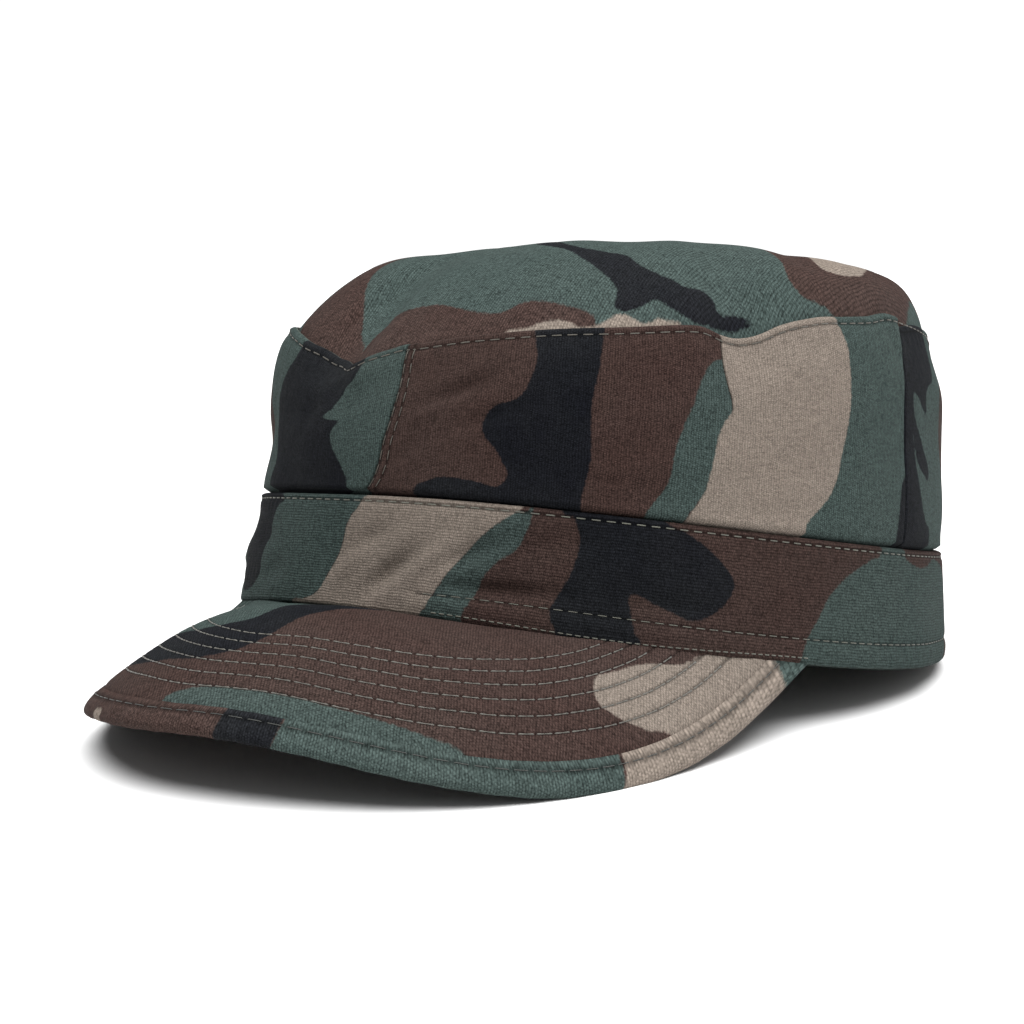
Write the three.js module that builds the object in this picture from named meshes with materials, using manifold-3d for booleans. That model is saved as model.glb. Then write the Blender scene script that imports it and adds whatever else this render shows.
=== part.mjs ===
// Soft patrol cap with a round crown wall, a wide band and a stiff curved peak, as it rests on a surface.
// Millimetres. The wearer's left is +X, the peak points to -Y and +Z is up.
import * as THREE from 'three';
import Module from 'manifold-3d';

// Head opening and band
const BAND_HALF_WIDTH = 83;
const BAND_HALF_LENGTH = 98.3;
const BAND_HEIGHT = 25.7;
const BAND_THICKNESS = 2.2;
const BAND_LEAN = 2.9;
const BAND_FRONT_EXTRA = 1.0;
const LOWER_EDGE_WAVE = 3.1;
const UPPER_EDGE_WAVE = 1.3;

// Crown walls and top
const CROWN_HEIGHT = 77;
const CROWN_HALF_WIDTH = 74.5;
const CROWN_HALF_LENGTH = 89;
const CROWN_SETBACK = -1.5;
const CROWN_SQUARENESS = 2.12;
const WALL_THICKNESS = 1.6;
const WALL_TUCK = 8;
const TOP_THICKNESS = 1.6;
const TOP_TUCK = 6;
const TOP_SUNK = 1;
const DOME_RISE = 11.7;
const DOME_TILT_SIDE = 3.5;
const DOME_TILT_BACK = -2.4;

// Peak and its binding
const PEAK_HALF_WIDTH = 76.5;
const PEAK_REACH = 61;
const PEAK_START = -34.8;
const PEAK_SKEW = 0.044;
const PEAK_THICKNESS = 3.8;
const PEAK_TUCK = 6;
const PEAK_SLOPE_FRONT = -0.2;
const PEAK_SLOPE_SIDE = 1.83;
const PEAK_SLOPE_RIGHT = 1.05;
const PEAK_ARCH_FRONT = 0.94;
const PEAK_ARCH_SIDE = -0.5;
const BINDING_WIDTH = 4.2;
const BINDING_THICKNESS = 0.9;
const BINDING_ROUNDING = 1.7;

// Gaps, flattening and folds
const SEAM_GAP = 0.3;
const REST_FLATTENING = 0.5;
const DIP_DEPTH = 5;
const FOLD_DEPTH = 4;

// Wall panels round the crown: name, first angle, last angle, steps. Angles turn from the front to the
// wearer's left, in degrees.
const PANELS = [
  ['crown_front_right', -50, -3, 13],
  ['crown_front_left', -3, 50, 14],
  ['crown_side_left', 50, 90.5, 9],
  ['crown_back', 90.5, 269.5, 28],
  ['crown_side_right', 269.5, 310, 8],
];

// Height of the seam round the top: angle, share of the crown height
const SEAM_HEIGHTS = [
  [-60, 0.902], [-40, 0.850], [-28, 0.800], [-14, 0.796], [0, 0.785], [12, 0.812], [24, 0.843],
  [36, 0.866], [50, 0.902], [62, 0.938], [76, 0.988], [92, 1.004], [130, 1.0], [180, 1.002], [230, 1.0],
  [268, 0.99], [284, 0.938],
];

// Short dips of that seam: angle, spread in degrees, share of the dip depth
const SEAM_DIPS = [
  [-15, 7, 1.0],
  [54.5, 5, 0.75],
];

// Wall section from the band up to the seam: share of the height, share of the lean
const WALL_SECTION = [
  [0, 0], [0.1, 0.0], [0.25, 0.03], [0.5, 0.12], [0.7, 0.27], [0.85, 0.5], [0.95, 0.78], [1, 1],
];

// Folds pressed into the wall: angle, share of the height, spread in degrees, spread in height share,
// share of the fold depth. A negative share is a bulge.
const WALL_FOLDS = [
  [-19, 1.0, 7, 0.22, 1.0],
  [-10, 0.95, 5, 0.16, -0.5],
  [54.5, 0.98, 6, 0.2, 0.45],
  [-47, 0.25, 14, 0.2, 0.5],
  [-47, 1.0, 10, 0.1, 0.3],
  [112, 0.9, 14, 0.14, 0.6],
  [120, 0.5, 24, 0.25, 0.3],
  [215, 0.5, 26, 0.3, 0.35],
];

// Folds pressed into the band, in the same columns
const BAND_FOLDS = [
  [-54, 0.78, 12, 0.16, 0.3],
  [-54, 0.5, 12, 0.12, -0.15],
  [-8, 0.35, 7, 0.3, 0.2],
  [22, 0.45, 8, 0.3, 0.22],
];

// Folds pressed down into the top: angle, share of the radius, spread in degrees, spread in radius share,
// share of the fold depth
const TOP_FOLDS = [
  [-17, 0.92, 8, 0.13, 0.8],
  [54, 0.87, 7, 0.15, 0.5],
  [75, 0.8, 6, 0.2, 0.25],
];

// Roundness of the dome towards its edge: angle, power of the radius share
const DOME_ROUNDING = [
  [0, 4], [60, 7.6], [98, 10], [130, 16], [180, 7.6], [225, 7], [270, 9], [315, 5.4],
];

// Peak outline, one row for each side: side, power across, power forward
const PEAK_OUTLINE = [
  [-1, 1.99, 2.02],
  [1, 2.03, 3.17],
];

const ROUND_RINGS = [0.97, 0.93, 0.86, 0.76, 0.62, 0.44, 0.24];
const PEAK_STEPS = 42;
const PEAK_ROWS = 7;
const NOSE_STEPS = 6;
const RAD = Math.PI / 180;

// Smooth value of a table of [place, value] rows. A period joins its end to its start.
function read(table, place, period) {
  const n = table.length;
  const at = (i) => {
    if (!period) return table[Math.min(Math.max(i, 0), n - 1)];
    const turn = Math.floor(i / n);
    const row = table[i - turn * n];
    return [row[0] + turn * period, row[1]];
  };
  let p = place;
  if (period) p = table[0][0] + ((((place - table[0][0]) % period) + period) % period);
  let i = 0;
  while (i < n - 1 && at(i + 1)[0] <= p) i += 1;
  const [a, b, c, d] = [at(i - 1), at(i), at(i + 1), at(i + 2)];
  if (c[0] <= b[0]) return b[1];
  const t = Math.min(Math.max((p - b[0]) / (c[0] - b[0]), 0), 1);
  const slope = (c[1] - b[1]) / (c[0] - b[0]);
  const before = b[0] > a[0] ? (b[1] - a[1]) / (b[0] - a[0]) : slope;
  const after = d[0] > c[0] ? (d[1] - c[1]) / (d[0] - c[0]) : slope;
  const blend = (s, r) => (s * r > 0 ? (2 * s * r) / (s + r) : 0);
  const m0 = blend(before, slope) * (c[0] - b[0]);
  const m1 = blend(slope, after) * (c[0] - b[0]);
  const u = t * t * (3 - 2 * t);
  return b[1] * (1 - u) + c[1] * u + m0 * t * (1 - t) * (1 - t) - m1 * t * t * (1 - t);
}

// Sum of the soft hollows of a fold table at an angle and a share
function folded(table, angle, share) {
  let sum = 0;
  for (const [middle, height, spread, tall, depth] of table) {
    const turn = ((((angle - middle) % 360) + 540) % 360) - 180;
    sum += depth * Math.exp(-((turn / spread) ** 2) - ((share - height) / tall) ** 2);
  }
  return sum * FOLD_DEPTH;
}

// Point on a rounded ring: angle in degrees, half width, half length, squareness
function ring(angle, halfWidth, halfLength, power = 2) {
  const s = Math.sin(angle * RAD);
  const c = Math.cos(angle * RAD);
  const k = (Math.abs(s) ** power + Math.abs(c) ** power) ** (-1 / power);
  return [halfWidth * s * k, -halfLength * c * k];
}

function lowerEdge(angle) {
  return LOWER_EDGE_WAVE * Math.cos(2 * angle * RAD);
}

function upperEdge(angle) {
  const wave = UPPER_EDGE_WAVE * Math.cos(2 * angle * RAD);
  return BAND_HEIGHT + BAND_FRONT_EXTRA * Math.cos(angle * RAD) + wave;
}

function seamHeight(angle) {
  let z = read(SEAM_HEIGHTS, angle, 360) * CROWN_HEIGHT;
  for (const [middle, spread, share] of SEAM_DIPS) {
    const turn = ((((angle - middle) % 360) + 540) % 360) - 180;
    z -= share * DIP_DEPTH * Math.exp(-((turn / spread) ** 2));
  }
  return z;
}

// Band point: angle, share of the height, depth below the outer face
function bandPoint(angle, share, depth) {
  const inset = BAND_LEAN * share + depth + folded(BAND_FOLDS, angle, share);
  const [x, y] = ring(angle, BAND_HALF_WIDTH - inset, BAND_HALF_LENGTH - inset);
  const z = lowerEdge(angle) + (upperEdge(angle) - lowerEdge(angle)) * share;
  return new THREE.Vector3(x, y, z);
}

// Wall point: angle, share of the height above the band's edge, depth below the outer face.
// Below zero it is tucked behind the band.
function wallPoint(angle, share, depth) {
  const tucked = BAND_THICKNESS + SEAM_GAP;
  if (share <= 0) {
    return bandPoint(angle, 1 + (share * WALL_TUCK) / BAND_HEIGHT, tucked + depth);
  }
  const lean = read(WALL_SECTION, share);
  const hidden = tucked * Math.max(0, 1 - share / 0.12) ** 2;
  const inset = depth + hidden + folded(WALL_FOLDS, angle, share);
  const low = bandPoint(angle, 1, 0);
  const edge = BAND_LEAN + folded(BAND_FOLDS, angle, 1);
  const [tx, ty] = ring(angle, CROWN_HALF_WIDTH, CROWN_HALF_LENGTH, CROWN_SQUARENESS);
  const x = low.x + (tx - low.x) * lean;
  const y = low.y + (ty + CROWN_SETBACK - low.y) * lean;
  const halfWidth = BAND_HALF_WIDTH - edge;
  const halfLength = BAND_HALF_LENGTH - edge;
  const z = low.z + (seamHeight(angle) - low.z) * share;
  return new THREE.Vector3(x * (1 - inset / halfWidth), y * (1 - inset / halfLength), z);
}

// Height shares, at an angle, of the foot, middle and rim of the top's turned-down edge inside the wall
function skirtShares(angle) {
  const height = seamHeight(angle) - upperEdge(angle);
  return [TOP_SUNK + TOP_TUCK, TOP_SUNK + TOP_TUCK / 2, TOP_SUNK].map((down) => 1 - down / height);
}

// Point of the top: angle, share of the radius, depth below the outer face
function topPoint(angle, share, depth) {
  const rim = wallPoint(angle, skirtShares(angle)[2], WALL_THICKNESS + SEAM_GAP + depth);
  const x = rim.x * share;
  const y = CROWN_SETBACK + (rim.y - CROWN_SETBACK) * share;
  const across = (DOME_TILT_SIDE * x) / CROWN_HALF_WIDTH;
  const along = (DOME_TILT_BACK * y) / CROWN_HALF_LENGTH;
  const crest = CROWN_HEIGHT + DOME_RISE + across + along;
  const rise = 1 - share ** read(DOME_ROUNDING, angle, 360);
  const z = rim.z * (1 - rise) + crest * rise - folded(TOP_FOLDS, angle, share) * (1 - share ** 12);
  return new THREE.Vector3(x, y, z - depth * Math.min(1, (1 - share) / 0.1));
}

// Upper face of the peak, leaving the band's lower edge and falling away outwards
function peakHeight(x, y) {
  const u = x / BAND_HALF_WIDTH;
  const v = -y / BAND_HALF_LENGTH;
  const angle = Math.atan2(u, v);
  const share = Math.hypot(u, v);
  const out = (share - 1) * (Math.hypot(x, y) / share);
  const side = Math.sin(angle) ** 2;
  const right = x < 0 ? PEAK_SLOPE_RIGHT * side * side : 0;
  const slope = PEAK_SLOPE_FRONT + (PEAK_SLOPE_SIDE - PEAK_SLOPE_FRONT) * side + right;
  const arch = (PEAK_ARCH_FRONT + PEAK_ARCH_SIDE * side) / 100;
  return lowerEdge(angle / RAD) - SEAM_GAP - slope * out - arch * out * out;
}

// Outline of the peak for t from -1 at the wearer's right to 1 at the left
function outline(t) {
  const row = PEAK_OUTLINE[t < 0 ? 0 : 1];
  const s = (t * Math.PI) / 2;
  const x = PEAK_HALF_WIDTH * row[0] * Math.abs(Math.sin(s)) ** (2 / row[1]);
  const forward = BAND_HALF_LENGTH + PEAK_REACH + PEAK_START;
  const y = PEAK_START - forward * Math.cos(s) ** (2 / row[2]) + PEAK_SKEW * x;
  return new THREE.Vector2(x, y);
}

// Edge station: a point of the binding's seam and the directions along, out of and up from the peak
function station(t) {
  const place = (d) => {
    const a = outline(Math.max(-1, t - 0.004));
    const b = outline(Math.min(1, t + 0.004));
    const run = b.clone().sub(a).normalize();
    const p = outline(t).addScaledVector(new THREE.Vector2(-run.y, run.x), d);
    return new THREE.Vector3(p.x, p.y, peakHeight(p.x, p.y));
  };
  const seam = place(BINDING_WIDTH);
  const rim = place(0);
  const out = rim.clone().sub(seam);
  const reach = out.length() - BINDING_ROUNDING;
  out.normalize();
  const a = outline(Math.max(-1, t - 0.004));
  const b = outline(Math.min(1, t + 0.004));
  const along = new THREE.Vector3(b.x - a.x, b.y - a.y, peakHeight(b.x, b.y) - peakHeight(a.x, a.y));
  const up = out.clone().cross(along.normalize()).normalize();
  if (up.z < 0) up.negate();
  return { seam, out, up, reach };
}

// Half-round nose of the edge, from its upper to its lower side, shrunk by a clearance
function nose(edge, shrink) {
  const points = [];
  const half = PEAK_THICKNESS / 2;
  for (let i = 0; i <= NOSE_STEPS; i += 1) {
    const turn = Math.PI / 2 - (Math.PI * i) / NOSE_STEPS;
    const c = Math.max(0, Math.cos(turn)) ** 0.8;
    const s = Math.sign(Math.sin(turn)) * Math.abs(Math.sin(turn)) ** 0.8;
    const p = edge.seam.clone().addScaledVector(edge.out, (edge.reach - shrink) * c);
    points.push(p.addScaledVector(edge.up, (half - shrink) * s - half));
  }
  return points;
}

// Places round the rings, one list for each panel
function panelAngles([, first, last, steps]) {
  return Array.from({ length: steps + 1 }, (_, i) => first + ((last - first) * i) / steps);
}

const allAngles = PANELS.flatMap((panel) => panelAngles(panel).slice(0, -1));

// Closed solid from sections, each a loop of points that runs out along the outer face and back along the
// inner one. Both faces are split along the same diagonals, so neighbours that share stations stay clear.
function sweep(sections, closed) {
  const n = sections[0].length;
  const points = sections.flat();
  const faces = [];
  const count = closed ? sections.length : sections.length - 1;
  for (let i = 0; i < count; i += 1) {
    const a = i * n;
    const b = ((i + 1) % sections.length) * n;
    for (let j = 0; j < n; j += 1) {
      const k = (j + 1) % n;
      if (2 * j < n) faces.push([a + j, b + j, b + k], [a + j, b + k, a + k]);
      else faces.push([a + j, b + j, a + k], [b + j, b + k, a + k]);
    }
  }
  return { points, faces, n };
}

// End faces for sections whose loop runs out along one side and back along the other
function capEnds(solid, count) {
  const { n, faces } = solid;
  const last = (count - 1) * n;
  for (let j = 0; 2 * j < n - 2; j += 1) {
    const k = n - 1 - j;
    faces.push([j, j + 1, k], [last + j, last + k, last + j + 1]);
    if (j + 1 < k - 1) faces.push([j + 1, k - 1, k], [last + j + 1, last + k, last + k - 1]);
  }
  return solid;
}

function bandSolid() {
  const shares = [0, 0.24, 0.47, 1 - WALL_TUCK / BAND_HEIGHT, 1];
  const sections = allAngles.map((angle) => [
    ...shares.map((share) => bandPoint(angle, share, 0)),
    ...shares.toReversed().map((share) => bandPoint(angle, share, BAND_THICKNESS)),
  ]);
  return sweep(sections, true);
}

function panelSolid(panel) {
  const angles = panelAngles(panel);
  const nudge = SEAM_GAP / 2 / (CROWN_HALF_WIDTH * RAD);
  angles[0] += nudge;
  angles[angles.length - 1] -= nudge;
  const sections = angles.map((angle) => {
    const shares = [-1, 0, 0.08, 0.2, 0.4, 0.6, ...skirtShares(angle), 1];
    return [
      ...shares.map((share) => wallPoint(angle, share, 0)),
      ...shares.toReversed().map((share) => wallPoint(angle, share, WALL_THICKNESS)),
    ];
  });
  return capEnds(sweep(sections, false), sections.length);
}

function topSolid() {
  const skirt = (angle, depth) =>
    skirtShares(angle).slice(0, 2).map((share) => wallPoint(angle, share, WALL_THICKNESS + SEAM_GAP + depth));
  const dome = (angle, depth) => [1, ...ROUND_RINGS].map((share) => topPoint(angle, share, depth));
  const outer = allAngles.map((angle) => [...skirt(angle, 0), ...dome(angle, 0)]);
  const inner = allAngles.map((angle) =>
    [...skirt(angle, TOP_THICKNESS), ...dome(angle, TOP_THICKNESS)].toReversed());
  const sections = allAngles.map((_, i) => [...outer[i], ...inner[i]]);
  const count = sections.length;
  const n = sections[0].length;
  const rim = outer[0].length - 1;
  const solid = sweep(sections, true);
  // The strip between the last outer and first inner ring is replaced by two crests
  solid.faces = solid.faces.filter((_, i) => Math.floor(i / 2) % n !== rim);
  const crest = solid.points.length;
  solid.points.push(topPoint(0, 0, 0), topPoint(0, 0, TOP_THICKNESS));
  for (let i = 0; i < count; i += 1) {
    const k = (i + 1) % count;
    solid.faces.push([i * n + rim, k * n + rim, crest]);
    solid.faces.push([i * n + rim + 1, crest + 1, k * n + rim + 1]);
  }
  return solid;
}

const peakPlaces = Array.from({ length: PEAK_STEPS + 1 }, (_, i) => {
  const even = (2 * i) / PEAK_STEPS - 1;
  return Math.sign(even) * Math.abs(even) ** 0.8;
});

// Normal of the peak's upper face
function peakUp(x, y) {
  const h = 0.5;
  const dx = (peakHeight(x + h, y) - peakHeight(x - h, y)) / (2 * h);
  const dy = (peakHeight(x, y + h) - peakHeight(x, y - h)) / (2 * h);
  return new THREE.Vector3(-dx, -dy, 1).normalize();
}

function peakSolid() {
  const inset = BAND_THICKNESS + PEAK_TUCK;
  const sections = peakPlaces.map((t) => {
    const edge = station(t);
    const gapped = edge.seam.clone().addScaledVector(edge.out, -SEAM_GAP);
    const angle = Math.atan2(gapped.x / BAND_HALF_WIDTH, -gapped.y / BAND_HALF_LENGTH) / RAD;
    const [ix, iy] = ring(angle, BAND_HALF_WIDTH - inset, BAND_HALF_LENGTH - inset);
    const above = [];
    const below = [];
    for (let j = 0; j <= PEAK_ROWS; j += 1) {
      const v = j / PEAK_ROWS;
      const x = ix + (gapped.x - ix) * v;
      const y = iy + (gapped.y - iy) * v;
      const top = new THREE.Vector3(x, y, peakHeight(x, y));
      const up = j === PEAK_ROWS ? edge.up : peakUp(x, y);
      above.push(j === PEAK_ROWS ? gapped : top);
      below.push(above[j].clone().addScaledVector(up, -PEAK_THICKNESS));
    }
    const tongue = nose(edge, BINDING_THICKNESS + SEAM_GAP);
    tongue[0].addScaledVector(edge.out, -SEAM_GAP);
    tongue[NOSE_STEPS].addScaledVector(edge.out, -SEAM_GAP);
    return [...above, ...tongue, ...below.toReversed()];
  });
  return capEnds(sweep(sections, false), sections.length);
}

function bindingSolid() {
  const sections = peakPlaces.map((t) => {
    const edge = station(t);
    return [...nose(edge, 0), ...nose(edge, BINDING_THICKNESS).toReversed()];
  });
  return capEnds(sweep(sections, false), sections.length);
}

// Solid that fills the head opening and the room of the band, down to the gap under its lower edge
function openingSolid() {
  const reach = BAND_HALF_WIDTH;
  const sections = allAngles.map((angle) => {
    const inner = ring(angle, BAND_HALF_WIDTH - BAND_THICKNESS, BAND_HALF_LENGTH - BAND_THICKNESS);
    const outer = ring(angle, BAND_HALF_WIDTH + SEAM_GAP, BAND_HALF_LENGTH + SEAM_GAP);
    const edge = lowerEdge(angle) - SEAM_GAP;
    return [[...inner, -reach], [...inner, edge], [...outer, edge], [...outer, reach]];
  });
  const count = sections.length;
  const points = [...sections.flat(), [0, 0, -reach], [0, 0, reach]].map((p) => new THREE.Vector3(...p));
  const faces = [];
  for (let i = 0; i < count; i += 1) {
    const a = 4 * i;
    const b = 4 * ((i + 1) % count);
    for (let j = 0; j < 3; j += 1) faces.push([a + j, b + j, b + j + 1], [a + j, b + j + 1, a + j + 1]);
    faces.push([b, a, 4 * count], [a + 3, b + 3, 4 * count + 1]);
  }
  return { points, faces };
}

function volume({ points, faces }) {
  let sum = 0;
  for (const [a, b, c] of faces) sum += points[a].dot(points[b].clone().cross(points[c]));
  return sum / 6;
}

function facedOut(solid) {
  if (volume(solid) < 0) solid.faces = solid.faces.map(([a, b, c]) => [a, c, b]);
  return solid;
}

const wasm = await Module();
wasm.setup();

function toManifold(solid) {
  const { points, faces } = facedOut(solid);
  const mesh = new wasm.Mesh({
    numProp: 3,
    vertProperties: new Float32Array(points.flatMap((p) => [p.x, p.y, p.z])),
    triVerts: new Uint32Array(faces.flat()),
  });
  return new wasm.Manifold(mesh);
}

// What is left of a solid outside the head opening
function cutAtOpening(solid) {
  const mesh = toManifold(solid).subtract(toManifold(openingSolid())).getMesh();
  const points = [];
  for (let i = 0; i < mesh.vertProperties.length; i += mesh.numProp) {
    points.push(new THREE.Vector3(...mesh.vertProperties.slice(i, i + 3)));
  }
  const faces = [];
  for (let i = 0; i < mesh.triVerts.length; i += 3) faces.push([...mesh.triVerts.slice(i, i + 3)]);
  return { points, faces };
}

// Pose in which the back of the band and both sides of the peak reach the surface together
function restPose(band, edge) {
  const pose = new THREE.Matrix4();
  const lowest = (points, keep) => {
    const placed = points.map((p) => p.clone().applyMatrix4(pose)).filter(keep);
    return placed.reduce((a, b) => (b.z < a.z ? b : a));
  };
  for (let i = 0; i < 12; i += 1) {
    const back = lowest(band.points, (p) => p.y > 0);
    const left = lowest(edge.points, (p) => p.x > 0);
    const right = lowest(edge.points, (p) => p.x < 0);
    const nod = Math.atan2((left.z + right.z) / 2 - back.z, back.y - (left.y + right.y) / 2);
    const roll = Math.atan2(left.z - right.z, left.x - right.x);
    pose.premultiply(new THREE.Matrix4().makeRotationX(nod));
    pose.premultiply(new THREE.Matrix4().makeRotationY(roll));
  }
  return pose;
}

const GREEN = 0x46605a;
const BROWN = 0x4e3b36;
const TAN = 0x998d7f;
const BLACK = 0x24262d;

const solids = {
  band: [bandSolid(), BROWN],
  ...Object.fromEntries(PANELS.map((panel) => [panel[0], [panelSolid(panel), GREEN]])),
  crown_top: [topSolid(), GREEN],
  peak: [cutAtOpening(peakSolid()), BROWN],
  peak_binding: [cutAtOpening(bindingSolid()), GREEN],
};
solids.crown_side_left[1] = TAN;
solids.crown_front_left[1] = BROWN;
solids.crown_front_right[1] = BLACK;

// The cap stands in its pose on z = 0, flattened where it rests, with its footprint about the origin
const pose = restPose(solids.band[0], solids.peak_binding[0]);
const box = new THREE.Box3();
for (const [solid] of Object.values(solids)) {
  for (const p of solid.points) box.expandByPoint(p.applyMatrix4(pose));
}
for (const [solid] of Object.values(solids)) {
  for (const p of solid.points) {
    p.x -= (box.min.x + box.max.x) / 2;
    p.y -= (box.min.y + box.max.y) / 2;
    p.z = Math.max(0, p.z - box.min.z - REST_FLATTENING);
  }
}

const cap = new THREE.Group();
cap.name = 'patrol_cap';
for (const [name, [solid, color]] of Object.entries(solids)) {
  const { points, faces } = facedOut(solid);
  const geometry = new THREE.BufferGeometry().setFromPoints(points);
  geometry.setIndex(faces.flat());
  geometry.computeVertexNormals();
  const material = new THREE.MeshStandardMaterial({ color, roughness: 0.9, metalness: 0 });
  const mesh = new THREE.Mesh(geometry, material);
  mesh.name = name;
  cap.add(mesh);
}

export default cap;
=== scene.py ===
"""A patrol cap's cloth, print and stitching round the solids of the frame, and the studio it stands in"""
import math

import bpy
import numpy as np
from mathutils import Matrix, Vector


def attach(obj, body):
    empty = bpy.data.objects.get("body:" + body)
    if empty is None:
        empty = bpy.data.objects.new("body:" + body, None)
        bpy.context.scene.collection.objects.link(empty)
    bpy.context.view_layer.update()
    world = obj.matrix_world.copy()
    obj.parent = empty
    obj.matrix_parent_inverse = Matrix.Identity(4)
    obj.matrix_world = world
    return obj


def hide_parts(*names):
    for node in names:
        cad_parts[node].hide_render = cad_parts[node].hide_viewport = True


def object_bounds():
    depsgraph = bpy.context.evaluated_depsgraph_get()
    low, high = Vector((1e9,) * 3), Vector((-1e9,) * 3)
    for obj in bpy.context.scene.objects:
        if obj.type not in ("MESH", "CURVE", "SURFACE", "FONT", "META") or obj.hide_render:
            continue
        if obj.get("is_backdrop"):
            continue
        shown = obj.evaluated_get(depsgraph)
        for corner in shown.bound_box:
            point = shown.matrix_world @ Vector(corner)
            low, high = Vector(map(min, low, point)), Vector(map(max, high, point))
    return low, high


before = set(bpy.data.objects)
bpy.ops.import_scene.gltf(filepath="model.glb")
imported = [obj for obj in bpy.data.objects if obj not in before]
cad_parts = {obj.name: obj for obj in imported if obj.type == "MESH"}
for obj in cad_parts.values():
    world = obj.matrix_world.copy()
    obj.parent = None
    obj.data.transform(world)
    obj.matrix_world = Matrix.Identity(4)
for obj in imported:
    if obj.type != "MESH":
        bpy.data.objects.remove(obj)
cad_low, cad_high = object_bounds()

# Sizes of the cap in millimetres, as in the solids, but for the binding, which is wider to the eye
BAND_HALF_WIDTH = 83
BAND_HALF_LENGTH = 98.3
BAND_HEIGHT = 25.7
BAND_THICKNESS = 2.2
BAND_LEAN = 2.9
BAND_FRONT_EXTRA = 1.0
LOWER_EDGE_WAVE = 3.1
UPPER_EDGE_WAVE = 1.3
CROWN_HEIGHT = 77
CROWN_HALF_WIDTH = 74.5
CROWN_HALF_LENGTH = 89
CROWN_SETBACK = -1.5
CROWN_SQUARENESS = 2.12
WALL_HEIGHT = 52
WALL_THICKNESS = 1.6
WALL_TUCK = 8
TOP_THICKNESS = 1.6
TOP_SUNK = 1
DOME_RISE = 11.7
DOME_TILT_SIDE = 3.5
DOME_TILT_BACK = -2.4
PEAK_HALF_WIDTH = 76.5
PEAK_REACH = 61
PEAK_START = -34.8
PEAK_SKEW = 0.044
PEAK_THICKNESS = 3.8
PEAK_COVER = 0.25
PEAK_SLOPE_FRONT = -0.2
PEAK_SLOPE_SIDE = 1.83
PEAK_SLOPE_RIGHT = 1.05
PEAK_ARCH_FRONT = 0.94
PEAK_ARCH_SIDE = -0.5
PEAK_JOINT = 5
BINDING_WIDTH = 5.5
BINDING_LAP = 0.9
BINDING_THICKNESS = 0.9
BINDING_ROUNDING = 1.7
SEAM_GAP = 0.3
DIP_DEPTH = 5
FOLD_DEPTH = 4
# Least height over the floor
LEAST_LIFT = 0.02
# Steps round the rim of band and walls, and millimetres between columns of a wall
RIM_STEPS = 4
PANEL_STEP = 0.85
# How far from a patch its distance is measured
CHART_REACH = 6.0

# Stitch rows: millimetres from the edge they run along, and degrees round the binding's roll
BAND_ROW = 1.3
WALL_ROW = 1.5
FRONT_ROWS = (0.6, 2.4)
ROW_SPACING = 3.25
PEAK_ROWS = [10 + ROW_SPACING * n for n in range(6)]
NOSE_ROW = 75
# Stands for cloth far from any row
NO_ROW = 9
# Angles where the lower stitch row of the band ends, and its middle
LOW_ROW_ENDS = (8, 278)
LOW_ROW_MIDDLE = 143
# angle, height of the band's lower stitch row in mm
LOW_ROW = [(-70, 5.2), (8, 5.2), (15, 5.4), (30, 5.6), (50, 5.3), (110, 5.2), (240, 5.2)]

# Angles run from the front, 0, to the wearer's left, 90. Shares run from a lower edge to an upper one.
# angle, seam height as a share of CROWN_HEIGHT
SEAM_HEIGHTS = [
    (-60, .902), (-40, .85), (-28, .8), (-14, .796), (0, .785), (12, .812), (24, .843), (36, .866),
    (50, .902), (62, .938), (76, .988), (92, 1.004), (130, 1), (180, 1.002), (230, 1), (268, .99),
    (284, .938),
]
# angle, spread, share of DIP_DEPTH
SEAM_DIPS = [(-15, 7, 1), (54.5, 5, .75)]
# share of the wall's height, share of its lean
WALL_SECTION = [(0, 0), (.1, 0), (.25, .03), (.5, .12), (.7, .27), (.85, .5), (.95, .78), (1, 1)]
# angle, share of height or radius, spread, tall, share of FOLD_DEPTH
WALL_FOLDS = [
    (-19, 1, 7, .22, 1), (-10, .95, 5, .16, -.5), (54.5, .98, 6, .2, .45), (-47, .25, 14, .2, .5),
    (-47, 1, 10, .1, .3), (112, .9, 14, .14, .6), (120, .5, 24, .25, .3), (215, .5, 26, .3, .35),
]
BAND_FOLDS = [(-54, .78, 12, .16, .3), (-54, .5, 12, .12, -.15), (-8, .35, 7, .3, .2), (22, .45, 8, .3, .22)]
TOP_FOLDS = [(-17, .92, 8, .13, .8), (54, .87, 7, .15, .5), (75, .8, 6, .2, .25)]
# angle, power of the dome's rise
DOME_ROUNDING = [
    (0, 4), (60, 7.6), (98, 14), (114, 22), (132, 24), (180, 7.6), (225, 7), (270, 9), (315, 5.4),
]
# angle, how far the sewn seam strays from its plain line, in mm
SEAM_STRAYS = [
    (-110, 0), (-70, -2.1), (-54, -1.3), (-46, -.6), (-38, .3), (-32, .7), (-26, -.7), (-21, -1.1),
    (-17, 0), (-13, -.7), (-9, -1.5), (-5, -1.1), (0, .2), (8, .5), (26, .2), (47, .2), (50, -.1),
    (54.5, .4), (59, -.4), (68, -.2), (74, -.7), (80, -.3), (86, .9), (92, .5), (150, 0),
]
# side, power across, power along
PEAK_OUTLINE = [(-1, 1.99, 2.02), (1, 2.03, 3.17)]
# Turn of the resting cap and its place on the floor
REST_TURN = np.array([
    [0.9999982, 0.0014668, -0.0011618], [-0.0012831, 0.9894584, 0.1448116], [0.0013620, -0.1448098, 0.9894586],
])
REST_SHIFT = np.array([-0.00486, 28.65735, 10.66761])
# Cap points that an outward normal points away from: for crown and band, and for the peak
CROWN_HEART = (0, 0, 30)
PEAK_HEART = (0, -60, -80)

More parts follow.
